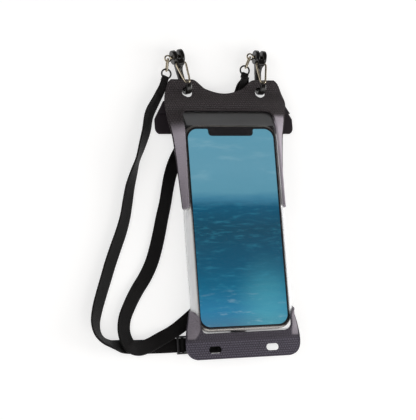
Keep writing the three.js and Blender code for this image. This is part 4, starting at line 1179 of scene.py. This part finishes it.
def webbing_finish():
    """Flat black webbing: ribs across it, each rib crossed by yarns that shift by half a rib."""
    material, s, surface = finish_of("webbing", {"Roughness": 0.42, "Specular IOR Level": 0.12})
    weave = s.add("Attribute", attribute_name="weave").outputs["Vector"]
    parts = s.add("SeparateXYZ", {0: weave}).outputs
    column = s.math("DIVIDE", parts["Y"], YARN_WIDE)
    odd = s.math("MULTIPLY", s.math("PINGPONG", s.math("FLOOR", column), 1.0), 0.5)
    along = s.math("ADD", s.math("DIVIDE", parts["X"], RIB_LONG), odd)
    rib = s.math("ABSOLUTE", s.math("SINE", s.math("MULTIPLY", along, np.pi)))
    cord = s.math("ABSOLUTE", s.math("SINE", s.math("MULTIPLY", column, np.pi)))
    crossed = s.math("MULTIPLY_ADD", cord, 0.5, 0.5)
    height = s.math("MULTIPLY", s.math("POWER", rib, 0.6), crossed)
    found = grain(s, 5000.0, 60.0, 0.4, s.math("MULTIPLY", height, 0.9))
    # Colour follows the weave's height: painted shade in the grooves between ribs, plus slow mottling of
    # the yarn.
    groove_shade_and_mottling = s.math("ADD", s.math("MULTIPLY", height, 0.7), s.math("MULTIPLY", found["Patches"], 0.3))
    s.put(surface.inputs["Base Color"], s.between(groove_shade_and_mottling, (0.001, 0.0008, 0.0012), (0.008, 0.007, 0.007)))
    s.put(surface.inputs["Normal"], found["Normal"])
    return material


def moulded_finish():
    """Satin black moulding."""
    return mottled(
        "slider_plastic", {"Roughness": 0.4}, (2500.0, 200.0, 0.12),
        [(0.008, 0.008, 0.009), (0.02, 0.019, 0.02)], (0.32, 0.5),
    )


def glass_finish():
    """Glossy black glass with the faintest smears."""
    material, s, surface = finish_of("phone_glass", {"Roughness": 0.08, "Specular IOR Level": 0.5})
    smears = grain(s, 900.0, 70.0, 0.0)["Patches"]
    s.put(surface.inputs["Base Color"], s.between(smears, (0.010, 0.008, 0.010), (0.018, 0.014, 0.017)))
    s.put(surface.inputs["Roughness"], s.ranged(smears, 0.35, 0.7, 0.06, 0.14))
    return material


def screen_finish():
    """A lit screen with a plain sky over a plain sea: bands of colour by height, soft clouds and swell.

    Noise moves the bands a little and gives crests, foam and clouds. A round patch of the sea is lighter.
    """
    material, s, surface = finish_of("screen", {"Base Color": (0.01, 0.012, 0.014), "Roughness": 0.1})
    low, high = (corner.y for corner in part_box("phone_display"))
    spot = s.place()
    parts = s.add("SeparateXYZ", {0: spot}).outputs
    tall = s.ranged(parts["Y"], low, high, 0.0, 1.0, smooth=False)
    stretched = s.add("Mapping", {"Vector": spot, "Scale": (1.0, 4.5, 1.0)}).outputs[0]
    drift = s.noise(38.0, 4.0, 0.6, stretched)
    swell = s.noise(120.0, 3.0, 0.62, stretched)
    waved = s.math("ADD", tall, s.math("MULTIPLY", s.math("SUBTRACT", drift, 0.5), 0.05))
    ramp = s.add("ValToRGB", {0: waved})
    stops = [
        (0.0, (0.058, 0.180, 0.290)), (0.07, (0.020, 0.190, 0.350)), (0.20, (0.000, 0.115, 0.215)),
        (0.30, (0.000, 0.082, 0.158)), (0.49, (0.000, 0.058, 0.108)), (0.60, (0.000, 0.085, 0.165)),
        (0.64, (0.045, 0.205, 0.320)), (0.68, (0.095, 0.290, 0.395)), (0.80, (0.112, 0.315, 0.425)),
        (1.0, (0.102, 0.312, 0.425)),
    ]
    colours = ramp.color_ramp
    while len(colours.elements) < len(stops):
        colours.elements.new(0.5)
    for element, (at, colour) in zip(colours.elements, stops):
        element.position = at
        element.color = (*colour, 1)
    sea = s.ranged(tall, 0.60, 0.66, 1.0, 0.0)
    crest = s.math("MULTIPLY", s.ranged(swell, 0.50, 0.74, 0.0, 0.35), sea)
    shore = s.math("MULTIPLY", s.ranged(s.noise(70.0, 5.0, 0.65, stretched), 0.54, 0.74, 0.0, 0.3),
                   s.ranged(tall, 0.08, 0.24, 1.0, 0.0))
    cloud = s.math("MULTIPLY", s.ranged(drift, 0.50, 0.75, 0.0, 0.25), s.ranged(tall, 0.68, 0.80, 0.0, 1.0))
    patch = {"Vector": spot, "Location": (-0.018, 0.050, 0), "Scale": (1.0, 0.62, 0.0)}
    away = s.vector("LENGTH", s.add("Mapping", patch).outputs[0])
    near = s.ranged(away, 0.002, 0.030, 0.55, 0.0)
    bright = s.math("MULTIPLY", s.math("MULTIPLY", near, s.math("ADD", drift, 0.4)), sea)
    water = s.between(bright, ramp.outputs[0], (0.090, 0.430, 0.500))
    picture = s.between(crest, water, (0.030, 0.260, 0.380))
    picture = s.between(shore, picture, (0.45, 0.62, 0.68))
    picture = s.between(cloud, picture, (0.30, 0.50, 0.58))
    s.put(surface.inputs["Emission Color"], picture)
    surface.inputs["Emission Strength"].default_value = 1.0
    return material


def phone_metal_finish():
    """Pale satin metal, a little warm."""
    return mottled(
        "phone_metal", {"Metallic": 0.8, "Roughness": 0.32}, (1200.0, 90.0, 0.01),
        [(0.30, 0.27, 0.24), (0.42, 0.39, 0.36)], (0.26, 0.36), "Grain",
    )


def tape_finish():
    """Hook-and-loop tape, all fine fuzz."""
    material, s, surface = finish_of("touch_tape", {"Roughness": 0.95, "Specular IOR Level": 0.15})
    found = grain(s, 1800.0, 120.0, 0.2)
    fuzz = s.between(found["Grain"], (0.004, 0.004, 0.004), (0.014, 0.013, 0.013))
    s.put(surface.inputs["Base Color"], fuzz)
    s.put(surface.inputs["Normal"], found["Normal"])
    return material


def floor_finish():
    """A pale floor that shows as white and keeps the object's shadow."""
    plain = {"Base Color": (0.8, 0.8, 0.8), "Roughness": 1.0, "Specular IOR Level": 0.0}
    material, s, surface = finish_of("floor", plain)
    path = s.add("LightPath").outputs
    bounced = s.math("MAXIMUM", path["Is Glossy Ray"], path["Is Transmission Ray"])
    shown = s.math("MAXIMUM", path["Is Camera Ray"], bounced)
    lit = s.add("BsdfDiffuse", {"Color": (0.5, 0.495, 0.49)})
    glow = s.add("Emission", {"Color": (1, 1, 1), "Strength": 0.64})
    seen = s.add("AddShader", {0: lit.outputs[0], 1: glow.outputs[0]})
    mix = s.add("MixShader", {0: shown, 1: surface.outputs[0], 2: seen.outputs[0]})
    out = next(node for node in s.tree.nodes if node.type == "OUTPUT_MATERIAL")
    s.put(out.inputs["Surface"], mix.outputs[0])
    return material


# Studio

FLOOR = {"half": 6.0, "z": -0.0002}

# Name, place, sizes, power and colour of each soft lamp, which faces the pouch
LAMPS = [
    ("left_lamp", (-0.85, 0.25, 0.55), (0.7, 0.7), 2.4, (1, 1, 1)),
    ("right_lamp", (0.88, -0.15, 0.22), (0.5, 0.4), 6.0, (1, 1, 1)),
    ("near_lamp", (0.33, -0.81, 0.60), (0.8, 0.5), 2.2, (1.0, 0.97, 0.93)),
    ("far_lamp", (0.0, 1.0, 0.5), (0.5, 0.5), 0.8, (1.0, 0.9, 0.75)),
]


def studio():
    """A pale floor, a soft surrounding light that is dimmer overhead and beyond, and soft lamps."""
    far, low = FLOOR["half"], FLOOR["z"]
    corners = [(-far, -far, low), (far, -far, low), (far, far, low), (-far, far, low)]
    mesh = bpy.data.meshes.new("floor")
    mesh.from_pydata(corners, [], [(0, 1, 2, 3)])
    mesh.materials.append(floor_finish())
    floor = bpy.data.objects.new("floor", mesh)
    bpy.context.scene.collection.objects.link(floor)
    world = bpy.data.worlds.new("studio")
    bpy.context.scene.world = world
    world.use_nodes = True
    s = Shader(world.node_tree)
    towards = s.add("SeparateXYZ", {0: s.add("TexCoord").outputs["Generated"]}).outputs
    overhead = s.ranged(towards["Z"], 0.50, 0.86, 1.15, 0.07)
    level = s.math("MULTIPLY", overhead, s.ranged(towards["Y"], 0.25, 0.75, 1.0, 0.12))
    path = s.add("LightPath").outputs
    strength = s.math("MAXIMUM", level, path["Is Camera Ray"])
    back = next(node for node in world.node_tree.nodes if node.type == "BACKGROUND")
    back.inputs["Color"].default_value = (1, 1, 1, 1)
    s.put(back.inputs["Strength"], strength)
    for name, where, size, power, colour in LAMPS:
        data = bpy.data.lights.new(name, "AREA")
        data.shape = "RECTANGLE"
        data.size, data.size_y = size
        data.energy = power
        data.color = colour
        lamp = bpy.data.objects.new(name, data)
        lamp.location = where
        lamp.visible_glossy = name != "far_lamp"
        x, y, z = np.array(where) / np.linalg.norm(where)
        lamp.rotation_euler = (np.arccos(z), 0, np.arctan2(x, -y))
        bpy.context.scene.collection.objects.link(lamp)


# Assembly

camera()
bpy.context.scene.view_settings.view_transform = "Standard"

WEBBING = webbing_finish()
TRIM = trim_finish()
FILM = film_finish()
BLACK = coated_finish()
BRIGHT = bright_finish()
MOULDED = moulded_finish()
MOUTH_SHEET = mouth_finish()
GLASS = glass_finish()

ribbon, ribbon_line = lanyard(WEBBING)
loops = [end_loop(side, ribbon_line, WEBBING) for side in ("left", "right")]
buckle = slider(MOULDED)

top_trim(TRIM)
bottom_trim(TRIM)
front_film(FILM)
back_film(FILM)
mouth_flap(MOUTH_SHEET)
for side in ("left", "right"):
    hook_body(side, BLACK)
    wire_gate(side, BRIGHT)
    eye_pin(side, BRIGHT)
    oval_link(side, BRIGHT)
    ring(side, BLACK)

CAD_FINISHES = {
    "phone_metal": phone_metal_finish(), "phone_glass": GLASS, "screen": screen_finish(),
    "touch_tape": tape_finish(), "mouth_sheet": MOUTH_SHEET,
}
for row in frame["record"]["subparts"]:
    node = frame["nodes"][row["node"]]
    if row["material_slot"] in CAD_FINISHES and not node.hide_render:
        node.data.materials.clear()
        node.data.materials.append(CAD_FINISHES[row["material_slot"]])

studio()
